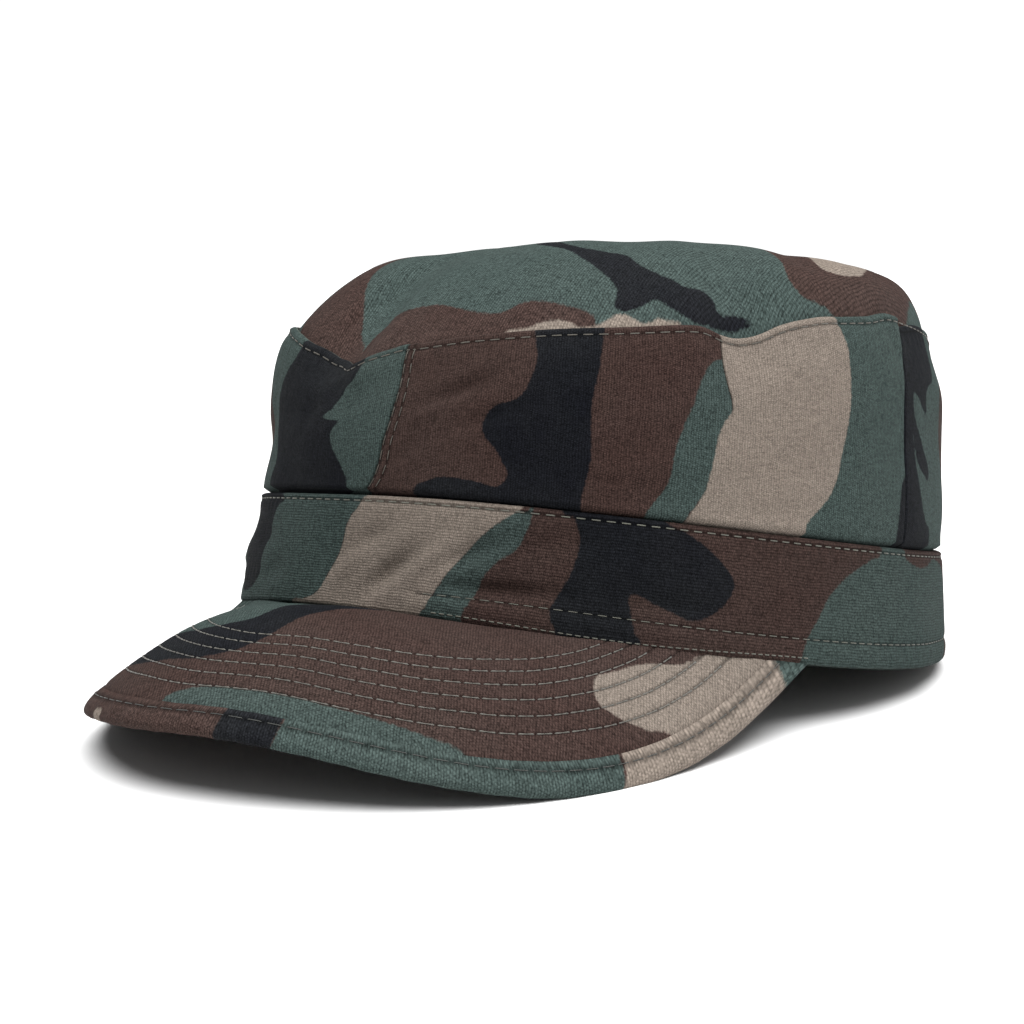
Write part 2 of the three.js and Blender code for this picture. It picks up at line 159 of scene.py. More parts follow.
# Charts of the printed pattern, drawn as outlines: the ground's colour, then patches, later ones on top.
# On band and wall: angle, share. On top and peak: x, y in mm.
WALL_PATCHES = {
    "crown_front_right": ("green", [
        ("black", [(-26.5, 1.2), (-29, .9), (-30.5, .8), (-33, .66), (-34, .55), (-33.5, .42), (-32, .3),
        (-32, .16), (-34, .04), (-34, -.3), (-20, -.35), (-8, -.3), (-8.2, .04), (-8.8, .12),
        (-10.8, .25), (-12.2, .33), (-13, .42), (-12.5, .49), (-11.6, .54), (-15.8, .56), (-14, .64),
        (-12.2, .73), (-11, .81), (-9, .87), (-8.4, 1.2)]),
        ("brown", [(-50, .7), (-44, .62), (-40, .4), (-43, .12), (-51, 0), (-55, .3), (-56, .6)]),
    ]),
    "crown_front_left": ("brown", [
        ("tan", [(48.2, .36), (53, .66), (60, .6), (60, -.3), (44.5, -.3), (45.7, 0), (47.2, .1),
        (48.3, .2)]),
        ("green", [(54, .9), (50, .86), (48.6, .82), (47.5, .76), (46.6, .69), (45.9, .6), (45, .53),
        (44.2, .45), (43.6, .38), (43.2, .28), (42.8, .2), (41.8, .13), (40.6, .07), (39.8, 0), (39, -.3),
        (45, -.35), (45.7, 0), (47.2, .1), (48.4, .18), (49, .27), (49.3, .35), (50, .47), (51.2, .57),
        (52.8, .64), (55, .68), (55.5, .82)]),
        ("black", [(21.5, 1.25), (22, .95), (22.6, .86), (22.3, .76), (21.2, .65), (19.8, .6),
        (17.5, .575), (15.9, .53), (15.2, .47), (15.4, .4), (16.6, .345), (17.8, .29), (18.8, .23),
        (19.6, .17), (18.2, .095), (15.5, .112), (13.2, .122), (10.8, .132), (8.5, .122), (6.6, .09),
        (5, .04), (3, -.3), (16, -.4), (30.4, -.3), (30.5, .04), (31, .16), (31.5, .31), (31.2, .46),
        (31.2, .62), (31.8, .75), (32.1, .88), (32.2, 1.25)]),
    ]),
    "crown_side_left": ("green", [
        ("tan", [(49, 1.3), (49, .6), (47, .3), (45, -.3), (55, -.4), (65, -.3), (65.3, .03), (66, .08),
        (67.6, .13), (69.2, .18), (70.4, .24), (71.2, .31), (71.8, .41), (72.4, .52), (72.8, .62),
        (73, .72), (72.9, .85), (72.4, .93), (71.6, 1), (70.6, 1.3)]),
        ("black", [(89.5, .33), (87.4, .29), (86.7, .23), (86.4, .15), (86.2, .07), (85.8, -.3),
        (94, -.3), (94, .3)]),
    ]),
    "crown_back": ("green", [
        ("black", [(84, 1.3), (103, 1.3), (102.2, 1), (101.8, .86), (100.8, .76), (98, .73), (96.6, .68),
        (97, .6), (95, .62), (93, .66), (90.6, .69), (90.9, .62), (92.2, .55), (94, .5), (96.3, .43),
        (98.4, .37), (97.9, .31), (95.8, .33), (93.3, .37), (91.9, .43), (91, .5), (91.4, .43),
        (92.4, .35), (93.6, .27), (95, .19), (97, .12), (99.2, .06), (100, -.3), (86, -.4), (84, .3)]),
        ("brown", [(112, 1.3), (109, .84), (106, .66), (108, .42), (114, .3), (121, .38), (124, .56),
        (131, .62), (138, .8), (141, 1.3)]),
        ("tan", [(128, .3), (133, .42), (141, .48), (150, .6), (158, .62), (163, .5), (158, .36),
        (149, .24), (140, .06), (134, -.3), (120, -.4), (121, .1)]),
        ("black", [(150, 1.3), (152, .9), (158, .78), (168, .76), (172, .6), (170, .42), (176, .3),
        (182, .4), (183, .58), (190, .7), (195, .86), (196, 1.3)]),
        ("brown", [(172, -.3), (170, .06), (177, .16), (188, .2), (196, .32), (206, .3), (210, .12),
        (208, -.3)]),
        ("tan", [(205, 1.3), (203, .92), (207, .7), (214, .56), (222, .58), (226, .74), (233, .86),
        (234, 1.3)]),
        ("black", [(224, .44), (232, .5), (241, .46), (246, .3), (242, .1), (238, -.3), (226, -.4),
        (219, .02), (218, .24)]),
        ("brown", [(246, 1.3), (244, .84), (249, .64), (257, .56), (262, .38), (270, .3), (276, .5),
        (276, 1.3)]),
    ]),
    "crown_side_right": ("green", [
        ("brown", [(262, 1.3), (262, .6), (266, .5), (272, .62), (277, .8), (279, 1.3)]),
        ("black", [(284, 1.3), (285, .8), (281, .6), (283, .38), (291, .26), (297, .1), (300, -.3),
        (278, -.4), (272, .08), (274, .4), (276, .66), (279, .9)]),
        ("tan", [(296, .44), (300, .62), (299, .82), (301, 1.3), (316, 1.3), (316, .3), (306, .22),
        (299, .28)]),
    ]),
}
BAND_PATCHES = ("brown", [
    ("tan", [(-3.8, 1.3), (-4.6, .94), (-6, .83), (-7, .72), (-7.4, .6), (-8, .48), (-9, .36),
    (-10.1, .24), (-11.2, .12), (-13.8, .05), (-17.4, .005), (-17, -.3), (0, -.4), (8, -.3), (8.6, .02),
    (9.4, .09), (10.2, .21), (11.4, .34), (13, .48), (14.6, .6), (16.8, .74), (19.2, .86), (21.5, .95),
    (25, 1.3), (10, 1.4)]),
    ("green", [(24.2, 1.3), (23.3, .98), (21.5, .95), (19.2, .86), (16.8, .74), (14.6, .6), (13, .48),
    (11.4, .34), (10.2, .21), (9.4, .09), (8.6, .02), (8, -.3), (14.6, -.3), (14.9, .06), (15.7, .17),
    (16.6, .29), (17.4, .4), (19, .52), (21, .61), (22.2, .68), (22.9, .78), (23.6, .9)]),
    ("black", [(26.4, 1.3), (28, .99), (29.6, .95), (30.4, .87), (30.8, .77), (30.5, .64), (29.9, .52),
    (29, .41), (28, .3), (27.3, .22), (27.6, .13), (28.3, .03), (28, -.3), (35, -.4), (41, -.3),
    (40.3, .03), (39.3, .11), (38.8, .22), (38.2, .36), (38.7, .41), (40.4, .39), (42.4, .34),
    (44.8, .295), (46.6, .262), (48.3, .265), (50, .31), (51.4, .37), (52.6, .45), (53.4, .54),
    (53.2, .62), (51.8, .71), (50, .8), (47.8, .88), (45.6, .94), (43, 1), (41, 1.3)]),
    ("green", [(83, 1.3), (82, .95), (79.6, .89), (76.6, .81), (73.8, .73), (71.6, .64), (70, .56),
    (68.9, .47), (67.8, .37), (66.6, .27), (65.6, .17), (65, .07), (64.6, -.3), (80, -.4), (100, -.3),
    (111, .1), (114, .5), (112, .8), (104, .93), (99.4, .87), (95.2, .85), (91.6, .89), (89.6, .96),
    (89, 1.3)]),
    ("tan", [(118, -.3), (121, .3), (127, .56), (136, .66), (141, .86), (142, 1.3), (158, 1.3),
    (160, .82), (154, .5), (146, .3), (140, -.3)]),
    ("black", [(138, -.3), (140, .16), (147, .34), (155, .4), (158, .2), (157, -.3)]),
    ("green", [(165, 1.3), (163, .8), (168, .55), (165, .3), (170, -.3), (196, -.3), (199, .2),
    (194, .45), (198, .75), (205, 1.3)]),
    ("black", [(206, 1.3), (202, .76), (205, .5), (213, .34), (217, -.3), (235, -.3), (232, .26),
    (237, .5), (233, .8), (226, 1.3)]),
    ("green", [(243, 1.3), (240, .74), (246, .46), (243, .2), (248, -.3), (268, -.3), (272, .3),
    (268, .62), (273, 1.3)]),
    ("tan", [(276, -.3), (279, .3), (276, .66), (281, 1.3), (298, 1.3), (301, .7), (295, .4), (299, -.3)]),
    ("green", [(316, 1.3), (312, .8), (306, .5), (309, .2), (306, -.3), (344, -.3), (342.6, .005),
    (346.2, .05), (348.8, .12), (349.9, .24), (351, .36), (352, .48), (352.6, .6), (353, .72), (354, .83),
    (355.4, .94), (356.2, 1.3)]),
    ("black", [(321, 1.2), (334.6, .97), (332.6, .86), (331.4, .72), (331, .6), (329.8, .5), (329, .38),
    (328.8, .26), (327, .16), (323.5, .1), (319, .12), (316, .3), (313, .6), (316, .9)]),
])
TOP_PATCHES = ("green", [
    ("brown", [(-43, -76), (-46, -69), (-48, -64), (-44, -61), (-40, -59), (-38, -54), (-36, -50),
    (-31, -47), (-30, -52), (-31, -58), (-31, -64), (-29, -69), (-26, -73), (-23, -77), (-20, -80),
    (-18, -88), (-28, -92), (-38, -86)]),
    ("brown", [(-20, -90), (-19.6, -80), (-18, -77), (-15.4, -77.4), (-12.5, -79), (-9.3, -80.2),
    (-4, -80.2), (1.4, -80.8), (6.6, -82), (12, -82.9), (16.8, -82.5), (19.1, -81.3), (20.7, -79.9),
    (24.5, -78.7), (29, -77.9), (32.4, -77), (36, -76), (37.8, -76.8), (39, -80), (40, -84), (26, -96),
    (4, -98)]),
    ("tan", [(18, -92), (20.7, -85.6), (23.5, -84.2), (25.9, -83), (28.1, -81.4), (30.9, -80),
    (32.9, -79.3), (35, -78.9), (37, -77.6), (38.5, -76.3), (39.5, -74.6), (41.2, -72.4), (43.2, -71.5),
    (45.3, -70.8), (46.9, -69.3), (47.8, -67.6), (49.6, -66.5), (52.3, -64.5), (60, -66), (46, -80),
    (34, -92)]),
    ("black", [(5, -42), (13, -54), (20.8, -60), (28.5, -60.6), (33.9, -59.7), (38.6, -61.2), (42, -60.4),
    (45.5, -58.9), (47.9, -59), (49.5, -57.6), (51.3, -54.4), (53.1, -53.5), (54.9, -54.1), (56.6, -50.6),
    (58.9, -48.4), (60.2, -48.4), (58.9, -50.2), (56.4, -55.8), (54.2, -60.7), (51.8, -63), (48.8, -64.5),
    (45.7, -65.7), (44.5, -67.7), (43, -70), (41.6, -71.7), (39.4, -72.2), (38.7, -70.5), (38.1, -69.3),
    (36.2, -68.6), (32.7, -67.8), (28.9, -66.4), (24, -64.4), (11, -57.6), (2, -47), (-8, -40),
    (-14, -31), (-8, -27), (-1, -33)]),
    ("brown", [(46, -20), (52, -28), (57.7, -31.6), (60.3, -34), (62.3, -35.2), (64.2, -35), (65.8, -34),
    (67.5, -30.8), (69.2, -28.3), (71, -27), (78, -26), (80, 0), (78, 12), (71, 16), (66, 24), (64, 36),
    (56, 38), (48, 26), (42, 6), (42, -10)]),
    ("tan", [(50, -4), (54.8, -11.5), (60.9, -18.5), (63.6, -17.6), (66, -13), (66, -5), (62, 6),
    (57, 14), (52, 16), (49, 6)]),
    ("green", [(76, 0), (72.5, 8), (68, 20), (66, 34), (72, 40), (86, 30), (88, 0)]),
    ("tan", [(-30, -30), (-22, -22), (-20, -10), (-28, 0), (-40, 4), (-50, 0), (-54, -12), (-46, -22),
    (-38, -26)]),
    ("brown", [(-70, -24), (-62, -18), (-58, -4), (-50, 10), (-52, 24), (-60, 34), (-68, 44), (-80, 40),
    (-82, -10)]),
    ("black", [(-10, 4), (2, 0), (12, 8), (26, 10), (32, 20), (26, 30), (12, 30), (2, 40), (-6, 54),
    (-18, 56), (-22, 44), (-14, 30), (-18, 16)]),
    ("brown", [(8, 56), (20, 50), (32, 54), (38, 66), (32, 80), (20, 96), (-2, 98), (-4, 80), (2, 68)]),
    ("tan", [(-56, 50), (-44, 52), (-38, 62), (-42, 74), (-48, 86), (-60, 80), (-70, 62)]),
    ("black", [(42, 44), (52, 42), (62, 46), (74, 50), (60, 78), (48, 76), (44, 62), (38, 54)]),
])
PEAK_PATCHES = ("brown", [
    ("black", [(8, -104), (5, -116), (2.4, -123), (2, -130), (1, -135), (-1.6, -139), (-6, -141.4),
    (-13, -142), (-25, -139), (-38, -130), (-50, -114), (-60, -97), (-67, -80), (-80, -60), (-70, -40),
    (-40, -80), (-16, -102)]),
    ("green", [(-4, -98), (-8, -108), (-9.6, -114), (-8.6, -119), (-8, -124), (-10, -127.6), (-20, -129),
    (-33, -123), (-45, -110), (-55, -95), (-63, -78), (-74, -52), (-70, -34), (-54, -56), (-30, -88)]),
    ("green", [(-8, -153.4), (-7, -151.8), (-4, -150.6), (-1, -149.8), (4, -149), (9, -148.4), (15, -147),
    (21, -145), (27, -142.6), (33, -139.6), (38, -137), (42, -134.6), (45, -132.6), (47.6, -131),
    (49.6, -130.8), (52, -133), (52, -142), (40, -152), (20, -160), (0, -160), (-10, -158)]),
    ("tan", [(53.6, -93.6), (53, -91), (54, -88), (55, -84), (56, -80), (58, -76), (60, -73), (61.4, -70),
    (62, -67.4), (62.6, -64.6), (66, -54), (74, -38), (90, -40), (88, -70), (76, -80), (70.6, -81),
    (69, -84), (67.2, -86.4), (66, -89), (65, -91), (63, -93), (61, -95), (59, -96), (57.6, -96.8),
    (56, -96.4), (54.8, -95.4)]),
    ("tan", [(-66, -98), (-60, -106), (-50, -118), (-42, -130), (-46, -140), (-62, -130), (-76, -104)]),
])
# Colours along the binding: share of its half length from right to left, then the slant across it
BINDING_SPANS = [
    ("green", -1.1, -.86, 0), ("tan", -.86, -.62, .004), ("black", -.5, -.42, .006),
    ("black", .068, .171, .004), ("green", .171, .722, .005), ("tan", .722, .972, .008),
    ("green", .972, 1.1, 0),
]
# The same share, then degrees round the roll
BINDING_SPOT = [(-.257, 42), (-.232, 46), (-.226, 30), (-.236, -10), (-.246, -70), (-.262, -70), (-.262, 0)]
# Millimetres of one degree, and of the whole height, where patches and creases are measured
WALL_SCALE = (1.47, WALL_HEIGHT)
BAND_SCALE = (1.55, 26)
# Millimetres of the binding's half length, and of one degree round its roll
BINDING_SCALE = (125, 0.045)

# Seams between the wall's panels: share of height, angle. Then share of height, roll of the edge in mm.
SEAMS = {
    "front": [(0, -4.4), (0.1, -2.8), (0.2, -2), (0.33, -1.5), (0.5, -0.6), (0.7, 0), (1, -0.2)],
    "left": [(0, 51.4), (0.3, 51.6), (0.5, 51.9), (0.63, 52), (0.75, 51.2), (0.88, 50.6), (1, 50.8)],
    "back_left": [(0, 88.6), (0.3, 88.4), (0.41, 88), (0.52, 87.8), (0.65, 87.5), (0.8, 87.9), (1, 89.4)],
    "back_right": [(0, 270.5), (0.5, 271), (1, 270)],
    "right": [(0, 310), (0.5, 310.5), (1, 310)],
}
SEAM_ROLLS = {
    "front": [(0, 0.55), (1, 0.55)], "left": [(0, 0.03), (0.55, 0.03), (0.66, 0.4), (1, 0.6)],
    "back_left": [(0, 0.6), (1, 0.8)], "back_right": [(0, 0.7), (1, 0.7)], "right": [(0, 0.7), (1, 0.7)],
}
WALL_PANELS = [
    ("crown_front_right", "right", "front"), ("crown_front_left", "front", "left"),
    ("crown_side_left", "left", "back_left"), ("crown_back", "back_left", "back_right"),
    ("crown_side_right", "back_right", "right"),
]
# Small creases: angle or x, share or y, half length, half width, direction in degrees, depth; lengths in mm
WALL_CREASES = [
    (11, .66, 9, 2.4, 30, 1.5), (7, .56, 7, 2.2, 34, -.7), (16, .5, 9, 2.4, 22, .7),
    (3, .3, 7, 2.2, 60, .6), (57, .9, 10, 3, -28, .6), (62, .82, 9, 2.6, -32, -.4),
    (67, .86, 8, 2.4, -30, .4), (85, .9, 6, 1.2, -62, .5), (-14, .8, 8, 3, 60, .7),
    (-20, .6, 9, 3, 75, .4), (-38, .5, 12, 3, 80, .4), (140, .5, 16, 5, 70, .6),
    (205, .6, 18, 5, 110, .6), (240, .4, 14, 4, 60, .5), (170, .2, 18, 4, 8, .5),
    (118, .97, 15, 9, 0, 1.2), (285, .6, 12, 4, 100, .6), (36, .16, 14, 3, -6, .4),
    (60, .1, 12, 2.6, 4, .45),
]
BAND_CREASES = [
    (2.5, .36, 8, 2.4, 40, 2.2), (-2, .62, 7, 2.4, 32, .9), (-5.5, .4, 7, 2.2, 44, -.7),
    (9, .5, 6, 2, 40, -.6), (20, .3, 11, 1.8, 3, 2.1), (15, .58, 7, 2, 30, 1.2),
    (27, .72, 9, 2.4, 10, .7), (44, .34, 10, 2.4, 0, .7), (60, .5, 10, 5, 90, .3),
    (47, .55, 9, 3, 80, .3), (-25, .3, 8, 2.6, 10, .7), (-30, .62, 8, 2.6, -14, .5),
    (-57, .64, 11, 1.7, 0, 2.1), (-57, .2, 11, 1.3, 0, 2), (-57, .86, 10, 1.6, 0, -.9),
    (-57, .41, 10, 1.7, 0, -1.2), (130, .5, 14, 3, 20, .5), (180, .45, 16, 3, -12, .5),
    (230, .55, 12, 3, 25, .5), (280, .4, 12, 3, 5, .5),
]
TOP_CREASES = [
    (44, -62, 11, 2.6, 60, .8), (52, -52, 12, 3, 42, .9), (57, -44, 10, 2.2, 35, -.5),
    (62, -22, 7, 1.3, 60, .6), (66, -8, 6, 1.2, 80, .5), (-24, -70, 12, 2.8, 64, 1.3),
    (-30, -74, 10, 2.6, 74, -.5), (-8, -60, 14, 5, 30, .6), (10, 10, 26, 6, 20, .5),
    (-30, 30, 24, 6, 120, .5), (30, 50, 20, 5, 70, .5),
]

# Dyes of the print, and each piece's painted shade: a factor that darkens the whole cloth of a piece to stand in for
# the light it gets
CLOTH = {
    "green": (0.040, 0.057, 0.053), "brown": (0.041, 0.024, 0.0205), "black": (0.0055, 0.006, 0.0085),
    "tan": (0.188, 0.156, 0.131),
}
REVERSE = (0.095, 0.105, 0.09)
WORN = (0.20, 0.21, 0.19)
BAND_PAINTED_SHADE, WALL_PAINTED_SHADE, TOP_PAINTED_SHADE, PEAK_PAINTED_SHADE, BINDING_PAINTED_SHADE = 0.78, 0.9, 1, 0.87, 1
# Metres between the threads of the weave, across and along
THREAD_GAPS = (0.0006, 0.0005)
WHITE = (1, 1, 1)
# Height of a direction, from level 0 to overhead 1, and how bright the studio is there
SKY = [(0, 1.1), (0.105, 1.1), (0.13, 0.5), (0.5, 0.5), (0.8, 0.2), (1, 0.2)]
SKY_TOP = 1.1
# The side of the studio away from the overhead panel is dimmer
DIM_SIDE = (-0.85, -0.53, 0)
# From which share of that direction to which it dims, and from how much light to how much
DIM_RANGE = (0.27, 0.6, 1.0, 0.3)
# Where the panel stands, seen from the cap, how strong it is and how many degrees wide
PANEL_SIDE = (0.16, -0.14, 0.977)
PANEL_STRENGTH = 6.0
PANEL_SPREAD = 66
# The camera: sensor in mm, focal length in picture widths, place in metres, right and up directions
SENSOR = 36
FOCAL_SHARE = 2200 / 1024
CAMERA_PLACE = (0.27415806, -0.44047228, 0.10638635)
CAMERA_RIGHT = (0.8425031, 0.53869045, -0.00106632)
CAMERA_UP = (-0.06578766, 0.10485508, 0.99230912)


def read(rows, place, period=None):
    """Value of a table at a place, on a smooth curve that never overshoots its rows"""
    rows = np.array(rows, float)
    n = len(rows)
    p = np.asarray(place, float)
    if period:
        p = rows[0, 0] + np.mod(p - rows[0, 0], period)
        before, after = rows[-1:] - [period, 0], rows[:2] + [period, 0]
    else:
        before, after = rows[:1], rows[[-1, -1]]
    xs, ys = np.concatenate([before, rows, after]).T
    b = np.clip(np.searchsorted(rows[:, 0], p, side="right"), 1, n if period else n - 1)
    gap = np.maximum(xs[b + 1] - xs[b], 1e-9)
    t = np.clip((p - xs[b]) / gap, 0, 1)
    slope = (ys[b + 1] - ys[b]) / gap

    def tangent(i):
        """Slope at a row's end, from the step of the table that lies beyond it"""
        s = np.where(xs[i + 1] > xs[i], (ys[i + 1] - ys[i]) / np.maximum(xs[i + 1] - xs[i], 1e-9), slope)
        return np.where(s * slope > 0, 2 * s * slope / np.where(s + slope == 0, 1, s + slope), 0) * gap

    u = t * t * (3 - 2 * t)
    return ys[b] * (1 - u) + ys[b + 1] * u + tangent(b - 1) * t * (1 - t) ** 2 - tangent(b + 1) * t * t * (1 - t)


def turned(angle, middle):
    return np.mod(angle - middle + 180, 360) - 180


def bell(x):
    return np.exp(-x * x)


def folded(rows, angle, share):
    """Depth of the large folds, in mm"""
    total = 0.0
    for middle, height, spread, tall, depth in rows:
        total = total + depth * bell(turned(angle, middle) / spread) * bell((share - height) / tall)
    return total * FOLD_DEPTH


def creased(rows, across, up, scale=(1, 1)):
    """Depth of the small creases, in mm; across and up are millimetres on the cloth"""
    total = 0.0
    for x, y, long, wide, direction, depth in rows:
        c, s = math.cos(math.radians(direction)), math.sin(math.radians(direction))
        dx, dy = across - x * scale[0], up - y * scale[1]
        total = total + depth * bell((dx * c + dy * s) / long) * bell((dy * c - dx * s) / wide)
    return total


def rippled(x, y, size, seed):
    """Slow unevenness of sewn cloth, from a few seeded waves"""
    waves = np.random.default_rng(seed)
    total = 0.0
    for length in (46, 37, 29, 23, 17, 13):
        a, shift = waves.uniform(0, 2 * math.pi, 2)
        total = total + np.sin((x * math.cos(a) + y * math.sin(a)) * 2 * math.pi / length + shift) * length / 46
    return total * size


def ring(angle, half_width, half_length, power=2.0):
    s, c = np.sin(np.radians(angle)), np.cos(np.radians(angle))
    k = (np.abs(s) ** power + np.abs(c) ** power) ** (-1 / power)
    return half_width * s * k, -half_length * c * k


def degree(angle):
    """Millimetres of one degree round the crown"""
    a = np.radians(angle)
    return np.hypot(80 * np.cos(a), 95 * np.sin(a)) * math.pi / 180


def lower_edge(angle):
    return LOWER_EDGE_WAVE * np.cos(2 * np.radians(angle))


def upper_edge(angle):
    a = np.radians(angle)
    return BAND_HEIGHT + BAND_FRONT_EXTRA * np.cos(a) + UPPER_EDGE_WAVE * np.cos(2 * a)


def seam_height(angle):
    z = read(SEAM_HEIGHTS, angle, 360) * CROWN_HEIGHT
    for middle, spread, share in SEAM_DIPS:
        z = z - share * DIP_DEPTH * bell(turned(angle, middle) / spread)
    return z + read(SEAM_STRAYS, angle, 360)


def low_row(angle):
    return read(LOW_ROW, angle, 360)


def band_point(angle, share, depth=0.0):
    inset = BAND_LEAN * share + depth + folded(BAND_FOLDS, angle, share)
    x, y = ring(angle, BAND_HALF_WIDTH - inset, BAND_HALF_LENGTH - inset)
    low = lower_edge(angle)
    return np.stack(np.broadcast_arrays(x, y, low + (upper_edge(angle) - low) * share), -1)


def wall_point(angle, share, depth=0.0):
    angle, share = np.broadcast_arrays(np.asarray(angle, float), np.asarray(share, float))
    tucked = BAND_THICKNESS + SEAM_GAP
    up = np.maximum(share, 0)
    lean = read(WALL_SECTION, up)
    hidden = tucked * np.maximum(0, 1 - up / 0.03) ** 2
    inset = depth + hidden + folded(WALL_FOLDS, angle, up)
    low = band_point(angle, 1.0)
    edge = BAND_LEAN + folded(BAND_FOLDS, angle, 1.0)
    tx, ty = ring(angle, CROWN_HALF_WIDTH, CROWN_HALF_LENGTH, CROWN_SQUARENESS)
    x = (low[..., 0] + (tx - low[..., 0]) * lean) * (1 - inset / (BAND_HALF_WIDTH - edge))
    y = (low[..., 1] + (ty + CROWN_SETBACK - low[..., 1]) * lean) * (1 - inset / (BAND_HALF_LENGTH - edge))
    z = low[..., 2] + (seam_height(angle) - low[..., 2]) * up
    wall = np.stack(np.broadcast_arrays(x, y, z), -1)
    tuck = band_point(angle, 1 + share * WALL_TUCK / BAND_HEIGHT, tucked + depth)
    return np.where((share <= 0)[..., None], tuck, wall)


def top_point(angle, share, depth=0.0):
    angle, share = np.broadcast_arrays(np.asarray(angle, float), np.asarray(share, float))
    height = seam_height(angle) - upper_edge(angle)
    rim = wall_point(angle, 1 - TOP_SUNK / height, WALL_THICKNESS + SEAM_GAP + depth)
    x = rim[..., 0] * share
    y = CROWN_SETBACK + (rim[..., 1] - CROWN_SETBACK) * share
    crest = CROWN_HEIGHT + DOME_RISE + DOME_TILT_SIDE * x / CROWN_HALF_WIDTH
    crest = crest + DOME_TILT_BACK * y / CROWN_HALF_LENGTH
    rise = 1 - share ** read(DOME_ROUNDING, angle, 360)
    z = rim[..., 2] * (1 - rise) + crest * rise - folded(TOP_FOLDS, angle, share) * (1 - share**12)
    return np.stack([x, y, z], -1)


def peak_height(x, y):
    u, v = x / BAND_HALF_WIDTH, -y / BAND_HALF_LENGTH
    angle, share = np.arctan2(u, v), np.hypot(u, v)
    out = (share - 1) * np.hypot(x, y) / share
    side = np.sin(angle) ** 2
    right = np.where(x < 0, PEAK_SLOPE_RIGHT * side * side, 0)
    slope = PEAK_SLOPE_FRONT + (PEAK_SLOPE_SIDE - PEAK_SLOPE_FRONT) * side + right
    arch = (PEAK_ARCH_FRONT + PEAK_ARCH_SIDE * side) / 100
    return lower_edge(np.degrees(angle)) - SEAM_GAP - slope * out - arch * out * out


def outline(t):
    """The peak's outline from right, -1, over the front, 0, to left, 1"""
    t = np.asarray(t, float)
    s = t * np.pi / 2
    row = np.array(PEAK_OUTLINE)[(t >= 0).astype(int)]
    x = PEAK_HALF_WIDTH * np.sign(s) * np.abs(np.sin(s)) ** (2 / row[..., 1])
    forward = BAND_HALF_LENGTH + PEAK_REACH + PEAK_START
    y = PEAK_START - forward * np.cos(s).clip(0) ** (2 / row[..., 2]) + PEAK_SKEW * x
    return np.stack([x, y], -1)


OUTLINE_POINTS = outline(np.linspace(-1, 1, 700)).astype(np.float32)


def outline_gap(x, y):
    """Distance in mm from the peak's outline"""
    p = np.stack([x, y], -1).reshape(-1, 1, 2).astype(np.float32)
    a = OUTLINE_POINTS[None, :-1]
    run = OUTLINE_POINTS[None, 1:] - a
    found = []
    for start in range(0, len(p), 8000):
        some = p[start:start + 8000]
        t = np.clip(((some - a) * run).sum(2) / (run**2).sum(2), 0, 1)
        found.append(np.sqrt(((some - a - run * t[..., None]) ** 2).sum(2)).min(1))
    return np.concatenate(found).reshape(np.shape(x))


def unit(v):
    return v / np.maximum(np.linalg.norm(v, axis=-1, keepdims=True), 1e-12)


def beside(t):
    """Two near neighbours on the peak's outline"""
    return outline(np.maximum(-1, t - 0.004)), outline(np.minimum(1, t + 0.004))


def inward(t, d):
    """Point of the peak's upper face, d millimetres in from its outline"""
    before, after = beside(t)
    run = unit(after - before)
    p = outline(t) + np.stack([-run[..., 1], run[..., 0]], -1) * d
    return np.concatenate([p, peak_height(p[..., 0], p[..., 1])[..., None]], -1)


def station(t):
    """Seam point of the binding, its way out, its way up and how far the roll reaches"""
    seam, rim = inward(t, BINDING_WIDTH), inward(t, 0)
    reach = np.linalg.norm(rim - seam, axis=-1) - BINDING_ROUNDING
    out = unit(rim - seam)
    a, b = beside(t)
    rise = peak_height(b[..., 0], b[..., 1]) - peak_height(a[..., 0], a[..., 1])
    up = unit(np.cross(out, unit(np.concatenate([b - a, rise[..., None]], -1))))
    return seam, out, np.where(up[..., 2:3] < 0, -up, up), reach


def taper(t):
    """The peak thins out at its two ends, where it runs under the band"""
    return np.clip((0.996 - np.abs(t)) / 0.03, 0.1, 1)


def placed(points):
    """Cap points turned to rest on the floor"""
    p = points @ REST_TURN.T + REST_SHIFT
    p[..., 2] = np.maximum(p[..., 2], LEAST_LIFT)
    return p


def band_face(angle, share, depth=0.0):
    """The band with its creases, stitch grooves and sag, depth millimetres in from its outer side"""
    across, up = angle * BAND_SCALE[0], share * BAND_SCALE[1]
    h, e = share * BAND_HEIGHT, (1 - share) * BAND_HEIGHT
    inset = creased(BAND_CREASES, across, up, BAND_SCALE) + rippled(across, up, 0.13, 3)
    inset = inset + 0.3 * bell((e - BAND_ROW) / 0.5) - 0.2 * bell((e - 0.5) / 0.5)
    low = low_row(angle)
    away = turned(angle, LOW_ROW_MIDDLE)
    sewn = np.clip((away + 139) / 5, 0, 1) * np.clip((137 - away) / 5, 0, 1)
    inset = inset + sewn * (0.25 * bell((h - low) / 0.55) - 0.22 * bell((h - low + 2.5) / 1.6))
    pucker = bell((h - low - 1.7) / 1.6) + bell((h - low + 1.9) / 1.2) + bell((e - 2.9) / 1.2)
    inset = inset + 0.08 * np.sin(across * 2 * math.pi / 3.3) * pucker
    p = band_point(angle, share, depth + inset)
    p[..., 2] -= bell(turned(angle, 30) / 27) * (1 - share) + 0.9 * bell(turned(angle, -20) / 26) * share
    return p


def wall_face(angle, share, depth=0.0):
    """The wall with its creases and the groove of its stitch row"""
    across, up = angle * WALL_SCALE[0], share * WALL_SCALE[1]
    e = (1 - share) * (seam_height(angle) - upper_edge(angle))
    inset = creased(WALL_CREASES, across, up, WALL_SCALE) + rippled(across, up, 0.16, 7)
    inset = inset + 0.32 * bell((e - WALL_ROW) / 0.5) - 0.32 * bell((e - 0.9) / 0.8)
    inset = inset + 0.12 * np.sin(across * 2 * math.pi / 3.4) * bell((e - 3.8) / 1.6)
    return wall_point(angle, share, depth + inset * np.clip(share / 0.08, 0, 1))


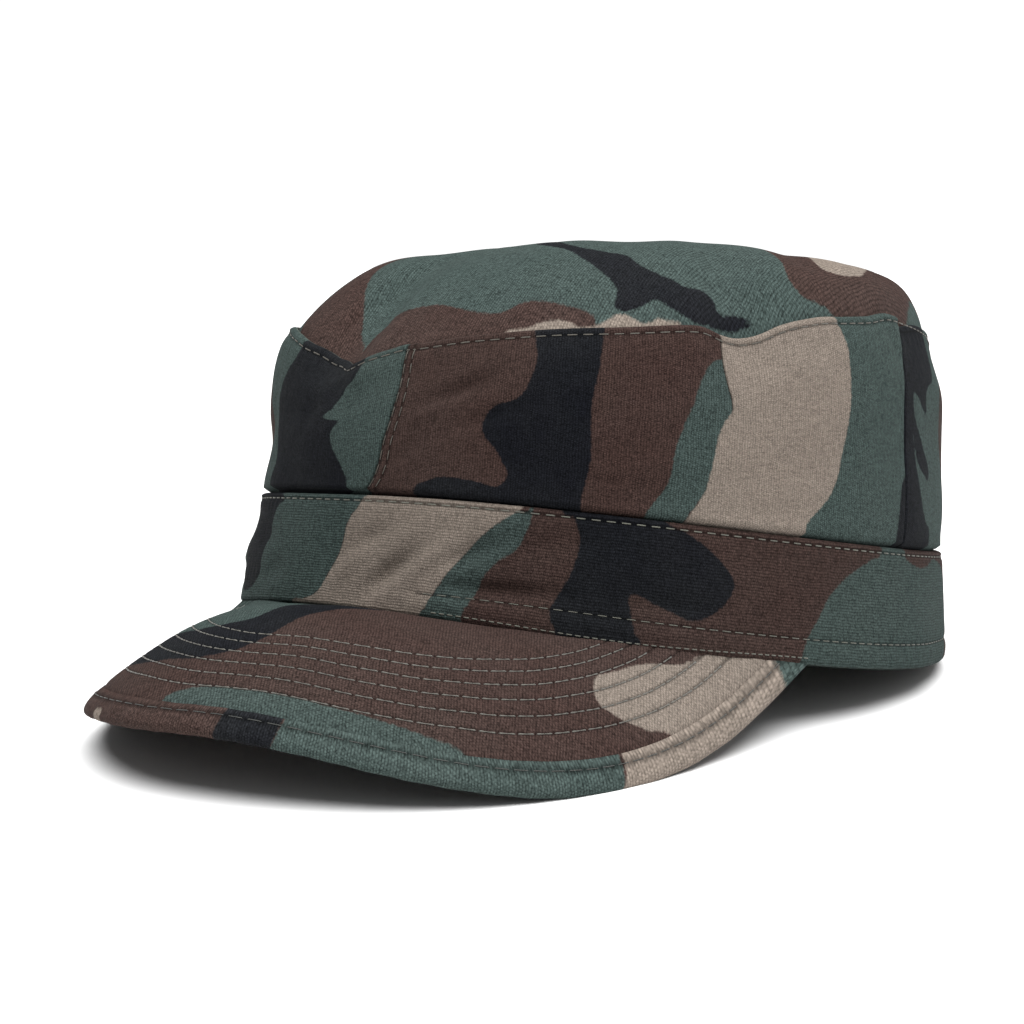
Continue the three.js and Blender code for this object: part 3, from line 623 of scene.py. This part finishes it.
def top_face(angle, share, depth=0.0):
    """The top with its creases, depth millimetres in along its normal"""
    step = 0.002
    inner = np.minimum(share, 1 - step)
    run = top_point(angle, inner + step) - top_point(angle, np.maximum(inner - step, 0))
    turn = top_point(angle + 0.5, inner) - top_point(angle - 0.5, inner)
    up = np.cross(unit(run), unit(turn))
    up = unit(np.where(up[..., 2:3] < 0, -up, up) + [0, 0, 1e-3])
    up = np.where((share < 0.02)[..., None], [0.0, 0.0, 1.0], up)
    p = top_point(angle, share)
    inset = creased(TOP_CREASES, p[..., 0], p[..., 1]) + rippled(p[..., 0], p[..., 1], 0.22, 11)
    inset = inset * (1 - np.clip(share, 0, 1) ** 10)
    return p - up * (depth + inset)[..., None]


def peak_face(x, y, gap):
    """The peak's upper face with its stitch grooves; gap is the distance from the outline"""
    z = peak_height(x, y) + rippled(x, y, 0.1, 5)
    for row in PEAK_ROWS:
        z = z - 0.16 * bell((gap - row) / 0.4)
    z = z - 0.8 * bell((gap - BINDING_WIDTH + 0.3) / 0.9)
    return np.stack([x, y, z], -1)


def nose_face(t, turn, shrink=0.0):
    """Roll of the binding round the peak's edge; turn runs from the upper seam, 90, to the lower one, -90"""
    seam, out, up, reach = station(t)
    half = PEAK_THICKNESS / 2 * taper(t)
    c = np.cos(np.radians(turn)).clip(0) ** 0.8
    s = np.sign(turn) * np.abs(np.sin(np.radians(turn))) ** 0.8
    puff = 0.22 * np.sin(np.radians(90 - turn).clip(0, math.pi)) ** 0.5 + 0.1 * np.sin(t * 61) * np.cos(t * 37 + 1)
    grow = puff - shrink
    rise = (half + grow) * s - half - 0.15 * bell((turn - 90) / 9)
    return seam + out * ((reach + grow) * c)[..., None] + up * rise[..., None]


class Nodes:
    """Small helper to lay out a tree of nodes"""

    def __init__(self, tree):
        self.tree = tree

    def put(self, socket, value):
        if isinstance(value, bpy.types.NodeSocket):
            self.tree.links.new(value, socket)
        else:
            socket.default_value = value

    def add(self, kind, ins=(), **settings):
        node = self.tree.nodes.new(kind)
        for key, value in settings.items():
            setattr(node, key, value)
        for key, value in dict(ins).items():
            self.put(node.inputs[key], value)
        return node

    def math(self, operation, a, b=0.0, c=0.0):
        return self.add("ShaderNodeMath", {0: a, 1: b, 2: c}, operation=operation).outputs[0]

    def plus(self, a, b):
        return self.math("ADD", a, b)

    def times(self, a, b):
        return self.math("MULTIPLY", a, b)

    def noise(self, place, scale, detail=2.0, rough=0.5):
        ins = {"Vector": place, "Scale": scale, "Detail": detail, "Roughness": rough}
        return self.add("ShaderNodeTexNoise", ins).outputs["Fac"]

    def range(self, value, low, high, start, end):
        ins = {"Value": value, "From Min": low, "From Max": high, "To Min": start, "To Max": end}
        return self.add("ShaderNodeMapRange", ins, clamp=True).outputs["Result"]

    def mix(self, fac, a, b, mode="MIX"):
        a, b = (v if isinstance(v, bpy.types.NodeSocket) else (*v, 1) for v in (a, b))
        return self.add("ShaderNodeMix", {0: fac, 6: a, 7: b}, data_type="RGBA", blend_type=mode).outputs[2]

    def shaded(self, colour, shade):
        grey = self.add("ShaderNodeCombineColor", {0: shade, 1: shade, 2: shade}).outputs[0]
        return self.mix(1.0, colour, grey, "MULTIPLY")

    def attribute(self, name):
        return self.add("ShaderNodeAttribute", attribute_name=name).outputs["Fac"]

    def stretched(self, place, x, y):
        return self.add("ShaderNodeMapping", {"Vector": place, "Scale": (x, y, 1)}).outputs[0]


def surface(name, lay, *numbers):
    """Material whose shader sockets are those that lay gives back, and a bump of height, depth and strength"""
    material = bpy.data.materials.new(name)
    material.use_nodes = True
    n = Nodes(material.node_tree)
    shader = n.tree.nodes["Principled BSDF"]
    sockets, bump = lay(n, n.add("ShaderNodeTexCoord").outputs["Object"], *numbers)
    if bump:
        height, depth, strength = bump
        ins = {"Height": height, "Distance": depth, "Strength": strength}
        sockets["Normal"] = n.add("ShaderNodeBump", ins).outputs[0]
    for key, value in sockets.items():
        n.put(shader.inputs[key], value)
    return material


def weave(n, place):
    """Height of the plain weave, and the crossing by crossing unevenness of its colour"""
    parts = n.add("ShaderNodeSeparateXYZ", {"Vector": place}).outputs
    wander = n.times(n.noise(place, 200), 0.0009)
    across, along = (n.times(n.plus(parts[k], wander), 1 / THREAD_GAPS[k]) for k in (0, 1))
    column = n.math("FLOOR", across)
    along = n.plus(along, n.times(column, 0.5))
    corner = n.add("ShaderNodeCombineXYZ", {0: column, 1: n.math("FLOOR", along)}).outputs[0]
    lot = n.add("ShaderNodeTexWhiteNoise", {"Vector": corner}, noise_dimensions="2D").outputs["Value"]
    rib, knot = (n.math("ABSOLUTE", n.math("SINE", n.times(v, math.pi))) for v in (across, along))
    bead = n.times(rib, n.plus(n.times(knot, 0.75), 0.25))
    bead = n.times(n.times(bead, n.plus(lot, 0.5)), 0.75)
    slub = n.plus(*(n.noise(n.stretched(place, *size), 1.0, 1.0) for size in ((1350, 260), (260, 1350))))
    height = n.plus(bead, n.times(slub, 0.6))
    return height, n.plus(height, n.times(n.noise(place, 2300, 2.0, 0.6), 2.4))


def cloth(n, solid, base, fields, depth):
    """Printed cotton with the patches of a chart; depth is the piece's painted shade, a factor that darkens its whole
    cloth
    """
    height, tone = weave(n, n.add("ShaderNodeUVMap", uv_map="cloth").outputs[0])
    ragged = n.times(n.math("SUBTRACT", n.noise(solid, 900, 3, 0.7), 0.5), 1.1)
    colour = n.add("ShaderNodeRGB").outputs[0]
    colour.default_value = (*CLOTH[base], 1)
    for number, (name, _) in enumerate(fields):
        inked = n.range(n.plus(n.attribute(f"patch_{number}"), ragged), -0.22, 0.22, 1, 0)
        colour = n.mix(inked, colour, CLOTH[name])
    colour = n.mix(n.range(n.noise(solid, 24, 4, 0.6), 0.35, 0.7, 0.0, 0.04), colour, WORN)
    colour = n.mix(n.times(n.attribute("inside"), 0.6), colour, REVERSE)
    fleck = n.range(n.noise(solid, 1500, 3, 0.8), 0.52, 0.74, 0, 0.5)
    # Painted shade: depth darkens the weave's shade over the whole piece
    shade = n.plus(n.range(tone, 1.5, 2.9, 0.3 * depth, 1.6 * depth), fleck)
    # Pale cloth shows less of its weave than dark cloth does
    calm = n.range(n.add("ShaderNodeRGBToBW", {"Color": colour}).outputs[0], 0.05, 0.17, 0.0, 0.35)
    shade = n.math("MULTIPLY_ADD", n.math("SUBTRACT", 0.98 * depth, shade), calm, shade)
    # Painted shade in the groove of a stitch row, partly soil: the cloth is darker there
    row = n.plus(n.math("ABSOLUTE", n.attribute("row")), n.times(n.noise(solid, 500), 0.3))
    shade = n.times(shade, n.range(row, 0.2, 0.65, 0.45, 1))
    sockets = {
        "Base Color": n.shaded(colour, shade), "Roughness": n.range(n.noise(solid, 700), 0.3, 0.7, 0.78, 0.94),
        "Specular IOR Level": 0.03, "Sheen Weight": 0.015, "Sheen Roughness": 0.5, "Sheen Tint": (0.85, 0.92, 0.9, 1),
    }
    fuzz = n.times(n.noise(solid, 2200, 2, 0.7), 0.8)
    return sockets, (n.plus(height, fuzz), 0.00022, 0.55)


def thread(n, solid, colour):
    grain = n.noise(solid, 3000)
    tone = n.range(n.plus(grain, n.noise(solid, 60)), 0.7, 1.3, 0.7, 1.25)
    rough = n.range(grain, 0.3, 0.7, 0.6, 0.8)
    sockets = {"Base Color": n.shaded(colour, tone), "Roughness": rough, "Sheen Weight": 0.15}
    return sockets, (grain, 0.0001, 0.5)


def pale(n, solid, colour, rough):
    cloudy = n.range(n.noise(solid, 3, 3), 0.3, 0.7, 0.985, 1.0)
    return {"Base Color": n.shaded(colour, cloudy), "Roughness": rough}, None


def smooth_loop(points, steps=5):
    """Closed smooth curve through chart points"""
    a, b, c, d = (np.roll(np.array(points, float), k, 0)[:, None] for k in (1, 0, -1, -2))
    t = (np.arange(steps) / steps)[None, :, None]
    curve = b + 0.5 * t * (c - a + t * (2 * a - 5 * b + 4 * c - d + t * (3 * (b - c) + d - a)))
    return curve.reshape(-1, 2)


def outside(points, loop):
    """Distance in mm to a closed curve, negative inside it, and no more than CHART_REACH"""
    flat = points.reshape(-1, 2).astype(np.float32)
    low, high = loop.min(0) - CHART_REACH, loop.max(0) + CHART_REACH
    close = np.flatnonzero(((flat > low) & (flat < high)).all(1))
    found = np.full(len(flat), CHART_REACH, np.float32)
    a = loop.astype(np.float32)
    b = np.roll(a, -1, 0)
    run = b - a
    size = (run**2).sum(1) + 1e-9
    for start in range(0, len(close), 20000):
        some = close[start:start + 20000]
        p = flat[some][:, None]
        t = np.clip(((p - a) * run).sum(2) / size, 0, 1)
        gap = np.sqrt((((p - a) - run * t[..., None]) ** 2).sum(2)).min(1)
        x, y = p[..., 0], p[..., 1]
        crossing = (a[:, 1] > y) != (b[:, 1] > y)
        rise = np.where(run[:, 1] == 0, 1e-9, run[:, 1])
        hit = crossing & (x < a[:, 0] + (y - a[:, 1]) / rise * run[:, 0])
        found[some] = np.where(hit.sum(1) % 2 == 1, -gap, gap)
    return found.reshape(points.shape[:-1])


def charted(chart, points, scale=(1, 1), turns=(0,)):
    """A chart's ground colour, and the colour and distance field of each of its patches"""
    base, rows = chart
    fields = []
    for colour, loop in rows:
        loop = np.array(loop, float)
        gaps = [outside(points * scale, smooth_loop((loop + [turn, 0]) * scale)) for turn in turns]
        fields.append((colour, np.minimum.reduce(gaps)))
    return base, fields


def linked(name, data):
    made = bpy.data.objects.new(name, data)
    bpy.context.scene.collection.objects.link(made)
    return made


def sewn_on(name, mesh, material):
    """Smooth piece that rides the cap's one body and belongs to its one kind of cloth"""
    mesh.polygons.foreach_set("use_smooth", np.ones(len(mesh.polygons), bool))
    mesh.validate()
    mesh.materials.append(material)
    piece = linked(name, mesh)
    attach(piece, "root")
    return piece


def build(name, points, uv, chart, shade, inside, row, whole=True, caps=False):
    """Shell from a grid of points in mm whose rows close on themselves, and whose columns do where it is whole.

    inside is 1 on the rows of the cloth's reverse, row the distance from a stitch row in mm, shade the piece's
    painted shade.
    """
    base, fields = chart
    rows, columns = points.shape[:2]
    i, j = np.meshgrid(np.arange(rows), np.arange(columns - 1 + whole), indexing="ij")
    a = np.stack([i, i, i + 1, i + 1], -1).reshape(-1, 4) % rows
    b = np.stack([j, j + 1, j + 1, j], -1).reshape(-1, 4)
    quads, corner_uv = a * columns + b % columns, uv[a, b]
    if caps:
        k = np.arange(rows // 2 - 1)
        for column, way in ((0, 1), (columns - 1, -1)):
            cap = np.stack([k, k + 1, rows - 2 - k, rows - 1 - k], -1)[:, ::way]
            quads = np.concatenate([quads, cap * columns + column])
            corner_uv = np.concatenate([corner_uv, uv[cap, column]])
    flat = points.reshape(-1, 3) / 1000
    a, b, c, d = (flat[quads[:, n]] for n in range(4))
    if np.einsum("ij,ij->", np.cross(c - a, d - b), a + b + c + d) < 0:
        quads, corner_uv = quads[:, ::-1], corner_uv[:, ::-1]
    mesh = bpy.data.meshes.new(name)
    mesh.vertices.add(len(flat))
    mesh.vertices.foreach_set("co", flat.astype(np.float32).ravel())
    mesh.loops.add(quads.size)
    mesh.loops.foreach_set("vertex_index", quads.astype(np.int32).ravel())
    mesh.polygons.add(len(quads))
    mesh.polygons.foreach_set("loop_start", np.arange(0, quads.size, 4, dtype=np.int32))
    mesh.update(calc_edges=True)
    layer = mesh.uv_layers.new(name="cloth")
    layer.data.foreach_set("uv", (corner_uv.reshape(-1, 2) / 1000).astype(np.float32).ravel())
    values = {f"patch_{n}": gap for n, (_, gap) in enumerate(fields)} | {"inside": inside[:, None], "row": row}
    for label, value in values.items():
        value = np.ascontiguousarray(np.broadcast_to(value, (rows, columns)), np.float32)
        mesh.attributes.new(label, "FLOAT", "POINT").data.foreach_set("value", value.ravel())
    dressed = surface(f"camouflage_cloth_{len(bpy.data.materials)}", cloth, base, fields, shade)
    return sewn_on(name, mesh, dressed)


def arc():
    """Steps round a quarter turn, but for its ends: share out, share up"""
    a = np.radians(np.linspace(8, 82, RIM_STEPS))
    return 1 - np.cos(a), np.sin(a)


def make_band():
    outer, inner = 40, 12
    r = BAND_THICKNESS / 2
    out, up = arc()
    top, foot, deep = BAND_HEIGHT - r + r * up, r - r * up, r * out
    z = np.concatenate([
        np.linspace(r, BAND_HEIGHT - r, outer), top, top[::-1],
        np.linspace(BAND_HEIGHT - r, r, inner), foot, foot[::-1],
    ])
    d = np.concatenate([
        np.zeros(outer), deep, BAND_THICKNESS - deep[::-1], np.full(inner, BAND_THICKNESS), BAND_THICKNESS - deep,
        deep[::-1],
    ])
    inside = np.repeat([0, 1, 0], [outer + RIM_STEPS, inner + 2 * RIM_STEPS, RIM_STEPS])
    share, a = np.meshgrid(z / BAND_HEIGHT, np.linspace(-75, 285, 721), indexing="ij")
    points = placed(band_face(a, share, d[:, None]))[:, :-1]
    uv = np.stack([share * BAND_HEIGHT, a * 1.57], -1)
    a, share = a[:, :-1], share[:, :-1]
    chart = charted(BAND_PATCHES, np.stack([a, share], -1), BAND_SCALE, (-360, 0, 360))
    z = z[:, None]
    low = np.where(turned(a, LOW_ROW_MIDDLE) > -136, z - low_row(a), NO_ROW)
    row = np.minimum(low, BAND_HEIGHT - BAND_ROW - z)
    piece = build("band_cloth", points, uv, chart, BAND_PAINTED_SHADE, inside, row)
    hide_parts("band")


def side_steps(width):
    """Shares across a panel, close together at its two seams"""
    near = np.array([0.0, 0.1, 0.25, 0.45, 0.75, 1.2])
    middle = np.linspace(1.9, width - 1.9, max(3, int(width / PANEL_STEP)))
    return np.concatenate([near, middle, width - near[::-1]]) / width


def make_wall(name, start, end):
    r = WALL_THICKNESS / 2
    out, up = arc()
    flat = np.linspace(0.5 / WALL_HEIGHT, 1 - r / WALL_HEIGHT, 58)
    share = np.concatenate([[-1, -0.5, 0], flat, 1 - (r - r * up) / WALL_HEIGHT])
    depth = np.concatenate([np.zeros(3 + len(flat)), r * out])
    rows = np.concatenate([share, share[::-1]])
    d = np.concatenate([depth, WALL_THICKNESS - depth[::-1]])[:, None]
    inside = np.repeat([0, 1], len(share))
    place = rows.clip(0, 1)
    first, last = (read(SEAMS[seam], place)[:, None] for seam in (start, end))
    first = np.where(first > last, first - 360, first)
    width = (last.mean() - first.mean()) * degree((first.mean() + last.mean()) / 2)
    f = side_steps(width)
    rolls = [read(SEAM_ROLLS[seam], place)[:, None] for seam in (start, end)]
    opened = [0.05 * np.minimum(1, size / 0.4) for size in rolls]
    first, last = first + opened[0], last - opened[1]
    across = first + (last - first) * f
    s = np.broadcast_to(rows[:, None], across.shape)
    roll = 0.0
    for gone, size in zip((f * width, (1 - f) * width), rolls):
        roll = roll + size * (1 - np.sqrt(1 - np.clip(1 - gone / size, 0, 1) ** 2))
    row = (1 - s) * (seam_height(across) - upper_edge(across)) - WALL_ROW
    if name == "crown_front_left":
        near, far = FRONT_ROWS
        half = (near + far) / 2
        for at, spread, swell in ((near, 0.4, 0.25), (far, 0.4, 0.25), (half, 0.7, -0.3)):
            roll = roll + swell * bell((f * width - at) / spread)
        side = np.interp(f * width, [0, near, half, far, 50], [-near, 0, half - near, 0, far - 50])
        row = row * side / np.sqrt(row**2 + side**2 + 1e-6)
    points = wall_face(across, s, d + roll * np.where(inside, 0.3, 1)[:, None])
    if name == "crown_back":
        points[..., 2] -= 2.4 * bell((across - first.mean()) / 7) * s.clip(0, 1) ** 4
    uv = np.stack([across * 1.5, s * WALL_HEIGHT], -1)
    chart = charted(WALL_PATCHES[name], np.stack([across, s], -1), WALL_SCALE)
    row = np.where(s > 0, row, NO_ROW)
    piece = build(name + "_cloth", placed(points), uv, chart, WALL_PAINTED_SHADE, inside, row, whole=False, caps=True)
    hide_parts(name)


def make_top():
    outer = 1 - (1 - np.linspace(0.0004, 1, 88)) ** 1.15
    skirt = np.array([0.35, 1.2, 2.6, 4.4])
    back = outer[::-1][3::3]
    shares = np.concatenate([outer, np.ones(2 * len(skirt)), back])
    drops = np.concatenate([np.zeros(len(outer)), skirt, skirt[::-1], np.zeros(len(back))])[:, None]
    inside = np.arange(len(shares)) >= len(outer) + len(skirt)
    s, a = np.meshgrid(shares, np.linspace(-180, 180, 601), indexing="ij")
    reverse = np.where((s >= 1)[..., None], top_point(a, 1, TOP_THICKNESS), top_face(a, s, TOP_THICKNESS))
    points = np.where(inside[:, None, None], reverse, top_face(a, s))
    points[..., 2] -= drops
    uv = points[..., :2].copy()
    uv[..., 1] -= drops * 0.8
    points = points[:, :-1]
    chart = charted(TOP_PATCHES, points[..., :2])
    piece = build("crown_top_cloth", placed(points), uv, chart, TOP_PAINTED_SHADE, inside, NO_ROW)
    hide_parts("crown_top")


def make_peak():
    t = np.sin(np.linspace(-1, 1, 380) * math.pi / 2 * 0.985) / math.sin(math.pi / 2 * 0.985) * 0.999
    edge = inward(t, BINDING_WIDTH - BINDING_LAP)[:, :2]
    angle = np.degrees(np.arctan2(edge[:, 0] / BAND_HALF_WIDTH, -edge[:, 1] / BAND_HALF_LENGTH))
    joint = np.stack(ring(angle, BAND_HALF_WIDTH - PEAK_JOINT, BAND_HALF_LENGTH - PEAK_JOINT), -1)
    run = np.concatenate([[0, 0.012, 0.024], np.linspace(0.036, 1, 118)])
    x, y = np.moveaxis(edge + (joint - edge) * run[:, None, None], -1, 0)
    gap = outline_gap(x, y)
    upper = peak_face(x, y, gap)
    few = np.linspace(0, len(run) - 1, 34).astype(int)[::-1]
    lower, under = upper[few], gap[few]
    lower[..., 2] = peak_height(lower[..., 0], lower[..., 1]) - (PEAK_THICKNESS - PEAK_COVER) * taper(t)
    lower[..., 2] += 0.18 * bell((under - PEAK_ROWS[2]) / 9) * np.cos(2 * math.pi * under / ROW_SPACING)
    points = np.concatenate([upper, lower])
    # The underside carries the mirror image of the print
    place = points[..., :2].copy()
    place[len(run):, :, 0] *= -1
    sewn = np.concatenate([gap, under]).clip(PEAK_ROWS[0] - ROW_SPACING / 2, PEAK_ROWS[-1] + ROW_SPACING / 2)
    row = np.sin(math.pi * ((sewn - PEAK_ROWS[0]) / ROW_SPACING)) * 1.03
    uv = points[..., :2] @ np.array([[0.84, -0.54], [0.54, 0.84]])
    chart = charted(PEAK_PATCHES, place)
    piece = build("peak_cloth", placed(points), uv, chart, PEAK_PAINTED_SHADE, np.zeros(len(points)), row, whole=False)
    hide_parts("peak")


def make_binding():
    outer, inner = 30, 12
    turns = np.concatenate([np.linspace(90, -90, outer), np.linspace(-90, 90, inner)])
    inside = np.repeat([0, 1], [outer, inner])
    turn, t = np.meshgrid(turns, np.linspace(-0.992, 0.992, 460), indexing="ij")
    points = nose_face(t, turn, BINDING_THICKNESS * inside[:, None])
    uv = np.stack([t, turn], -1) * BINDING_SCALE
    fields = []
    for colour, start, end, slant in BINDING_SPANS:
        shift = slant * turn / 45
        fields.append((colour, np.maximum(start + shift - t, t - end - shift) * BINDING_SCALE[0]))
    fields.append(("tan", outside(uv, smooth_loop(np.array(BINDING_SPOT) * BINDING_SCALE))))
    row = (turn - NOSE_ROW) * BINDING_SCALE[1]
    chart = "brown", fields
    piece = build("peak_binding_cloth", placed(points), uv, chart, BINDING_PAINTED_SHADE, inside, row, whole=False)
    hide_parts("peak_binding")


def stitches(name, rows, material, knot=1.0):
    """Short threads along rows of (points, outward normals, stitch, space, thickness), in mm"""
    along = np.array([0.0, 0.12, 0.5, 0.88, 1.0])
    lift = np.array([-0.9, 0.35, 0.5, 0.35, -0.9])[:, None]
    thick = np.array([0.45, knot, 1.0, knot, 0.45])[:, None, None]
    rounds, sides = len(along), 6
    turn = np.linspace(0, 2 * math.pi, sides, endpoint=False)[:, None]
    every = []
    for points, normals, stitch, space, radius in rows:
        steps = np.linalg.norm(np.diff(points, axis=0), axis=1)
        length = np.concatenate([[0], np.cumsum(steps)])
        count = int(length[-1] / (stitch + space))
        starts = (np.arange(count) + 0.25) * (length[-1] / count)
        at = starts[:, None] + along * stitch
        middle, up = (np.stack([np.interp(at, length, v[:, n]) for n in range(3)], -1) for v in (points, normals))
        up = unit(up)
        side = unit(np.cross(unit(middle[:, -1:] - middle[:, :1]), up))
        core = middle + up * (lift * radius)
        skin = side[:, :, None] * np.cos(turn) + up[:, :, None] * np.sin(turn)
        every.append(core[:, :, None] + thick * radius * skin)
    every = np.concatenate(every)
    flat = every.reshape(-1, 3) / 1000
    flat[:, 2] = np.maximum(flat[:, 2], LEAST_LIFT / 1000)
    i, j = np.meshgrid(np.arange(rounds - 1) * sides, np.arange(sides), indexing="ij")
    after = (j + 1) % sides
    skin = np.stack([i + j, i + after, i + sides + after, i + sides + j], -1).reshape(-1, 4)
    ends = np.array([[0, 3, 2, 1], [0, 5, 4, 3], [24, 25, 26, 27], [24, 27, 28, 29]])
    first = np.arange(len(every))[:, None, None] * rounds * sides
    mesh = bpy.data.meshes.new(name)
    mesh.from_pydata(flat.tolist(), [], (first + np.concatenate([skin, ends])).reshape(-1, 4).tolist())
    sewn_on(name, mesh, material)


def faced(face, step, heart=CROWN_HEART):
    """Line of a face, which takes how far beside the line it is read, and the line's outward normals"""
    low, line, high = (placed(face(k)) for k in (-step, 0, step))
    normal = unit(np.cross(np.gradient(line, axis=0), high - low))
    out = line - (np.array(heart) @ REST_TURN.T + REST_SHIFT)
    return line, np.where((normal * out).sum(-1, keepdims=True) < 0, -normal, normal)


make_band()
for panel, start, end in WALL_PANELS:
    make_wall(panel, start, end)
make_top()
make_peak()
make_binding()

whole = np.linspace(-180, 180, 1500)
low = np.linspace(*LOW_ROW_ENDS, 1200)
front = np.linspace(10, 66, 300)
rows = []
for angle, height, *sizes in (
    (whole, BAND_HEIGHT - BAND_ROW, 2.3, 0.9, 0.15), (low, low_row(low), 2.3, 0.8, 0.11),
    (front, 1.2 + 0.3 * np.sin(np.radians(front * 7)), 1.3, 0.5, 0.14),
):
    rows.append((*faced(lambda k: band_face(angle, height / BAND_HEIGHT + k), 0.01), *sizes))
stitches("band_stitching", rows, surface("band_thread", thread, (0.085, 0.085, 0.067)))

height = seam_height(whole) - upper_edge(whole)
rows = [(*faced(lambda k: wall_face(whole, 1 - (WALL_ROW + k) / height), 0.2), 2.5, 0.8, 0.14)]
up = np.linspace(0.02, 0.955, 200)
seam = read(SEAMS["front"], up)
for away in FRONT_ROWS:
    rows.append((*faced(lambda k: wall_face(seam + (away + k) / degree(0), up), 0.2), 2.3, 0.7, 0.1))
stitches("crown_stitching", rows, surface("crown_thread", thread, (0.07, 0.063, 0.05)))

rows = []
t = np.linspace(-0.985, 0.985, 900)
for gap in PEAK_ROWS:
    x, y, _ = inward(t, gap).T
    # Only what shows in front of the band is sewn
    shown = t[np.hypot(x / BAND_HALF_WIDTH, y / BAND_HALF_LENGTH) > 1.015]
    line = faced(lambda k: peak_face(*inward(shown, gap + k)[:, :2].T, gap + k), 0.2, PEAK_HEART)
    rows.append((*line, 3.75, 0.3, 0.085))
stitches("peak_stitching", rows, surface("peak_thread", thread, (0.095, 0.09, 0.077)), knot=2.3)

t = np.linspace(-0.96, 0.975, 700)
rows = [(*faced(lambda k: nose_face(t, NOSE_ROW + k), 3, PEAK_HEART), 3.2, 0.8, 0.1)]
stitches("binding_stitching", rows, surface("binding_thread", thread, (0.035, 0.037, 0.033)))

floor_mesh = bpy.data.meshes.new("floor")
floor_mesh.from_pydata([(-6, -6, 0), (6, -6, 0), (6, 6, 0), (-6, 6, 0)], [], [(0, 1, 2, 3)])
floor_mesh.materials.append(surface("pale_floor", pale, (0.82, 0.82, 0.82), 0.9))
floor = linked("floor", floor_mesh)
floor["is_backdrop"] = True

# Studio light: a wide soft panel overhead, a dim room and a white backdrop along the horizon
world = bpy.data.worlds.new("studio")
bpy.context.scene.world = world
world.use_nodes = True
n = Nodes(world.node_tree)
place = n.add("ShaderNodeTexCoord").outputs["Generated"]
rise = n.add("ShaderNodeSeparateXYZ", {0: place}).outputs[2]
ramp = n.add("ShaderNodeValToRGB", {0: rise})
stops = ramp.color_ramp.elements
for number, (height, level) in enumerate(SKY):
    stop = stops[number] if number < 2 else stops.new(height)
    stop.position = height
    stop.color = (level / SKY_TOP,) * 3 + (1,)
away = n.add("ShaderNodeVectorMath", {0: place, 1: DIM_SIDE}, operation="DOT_PRODUCT").outputs["Value"]
ins = {0: ramp.outputs[0], "Scale": n.range(away, *DIM_RANGE)}
room = n.add("ShaderNodeVectorMath", ins, operation="SCALE").outputs["Vector"]
# The camera sees plain white behind the cap
seen = n.add("ShaderNodeLightPath").outputs["Is Camera Ray"]
background = n.tree.nodes["Background"].inputs
n.put(background["Color"], n.mix(seen, room, WHITE))
n.put(background["Strength"], SKY_TOP)

panel = bpy.data.lights.new("overhead_panel", "SUN")
panel.energy = PANEL_STRENGTH
panel.angle = math.radians(PANEL_SPREAD)
back = unit(np.array(PANEL_SIDE))
side = unit(np.cross([0, 1, 0], back))
turn = Matrix(np.stack([side, np.cross(back, side), back], -1).tolist())
linked("overhead_panel", panel).matrix_world = turn.to_4x4()

camera_data = bpy.data.cameras.new("camera")
camera_data.sensor_width = SENSOR
camera_data.lens = SENSOR * FOCAL_SHARE
camera_data.clip_start = 0.02
camera = linked("camera", camera_data)
turn = Matrix(np.stack([CAMERA_RIGHT, CAMERA_UP, np.cross(CAMERA_RIGHT, CAMERA_UP)], -1).tolist())
camera.matrix_world = Matrix.Translation(CAMERA_PLACE) @ turn.to_4x4()
bpy.context.scene.camera = camera
bpy.context.scene.view_settings.view_transform = "Standard"

low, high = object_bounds()
sizes = [list(map(float, v)) for v in (cad_low, cad_high, low, high)]
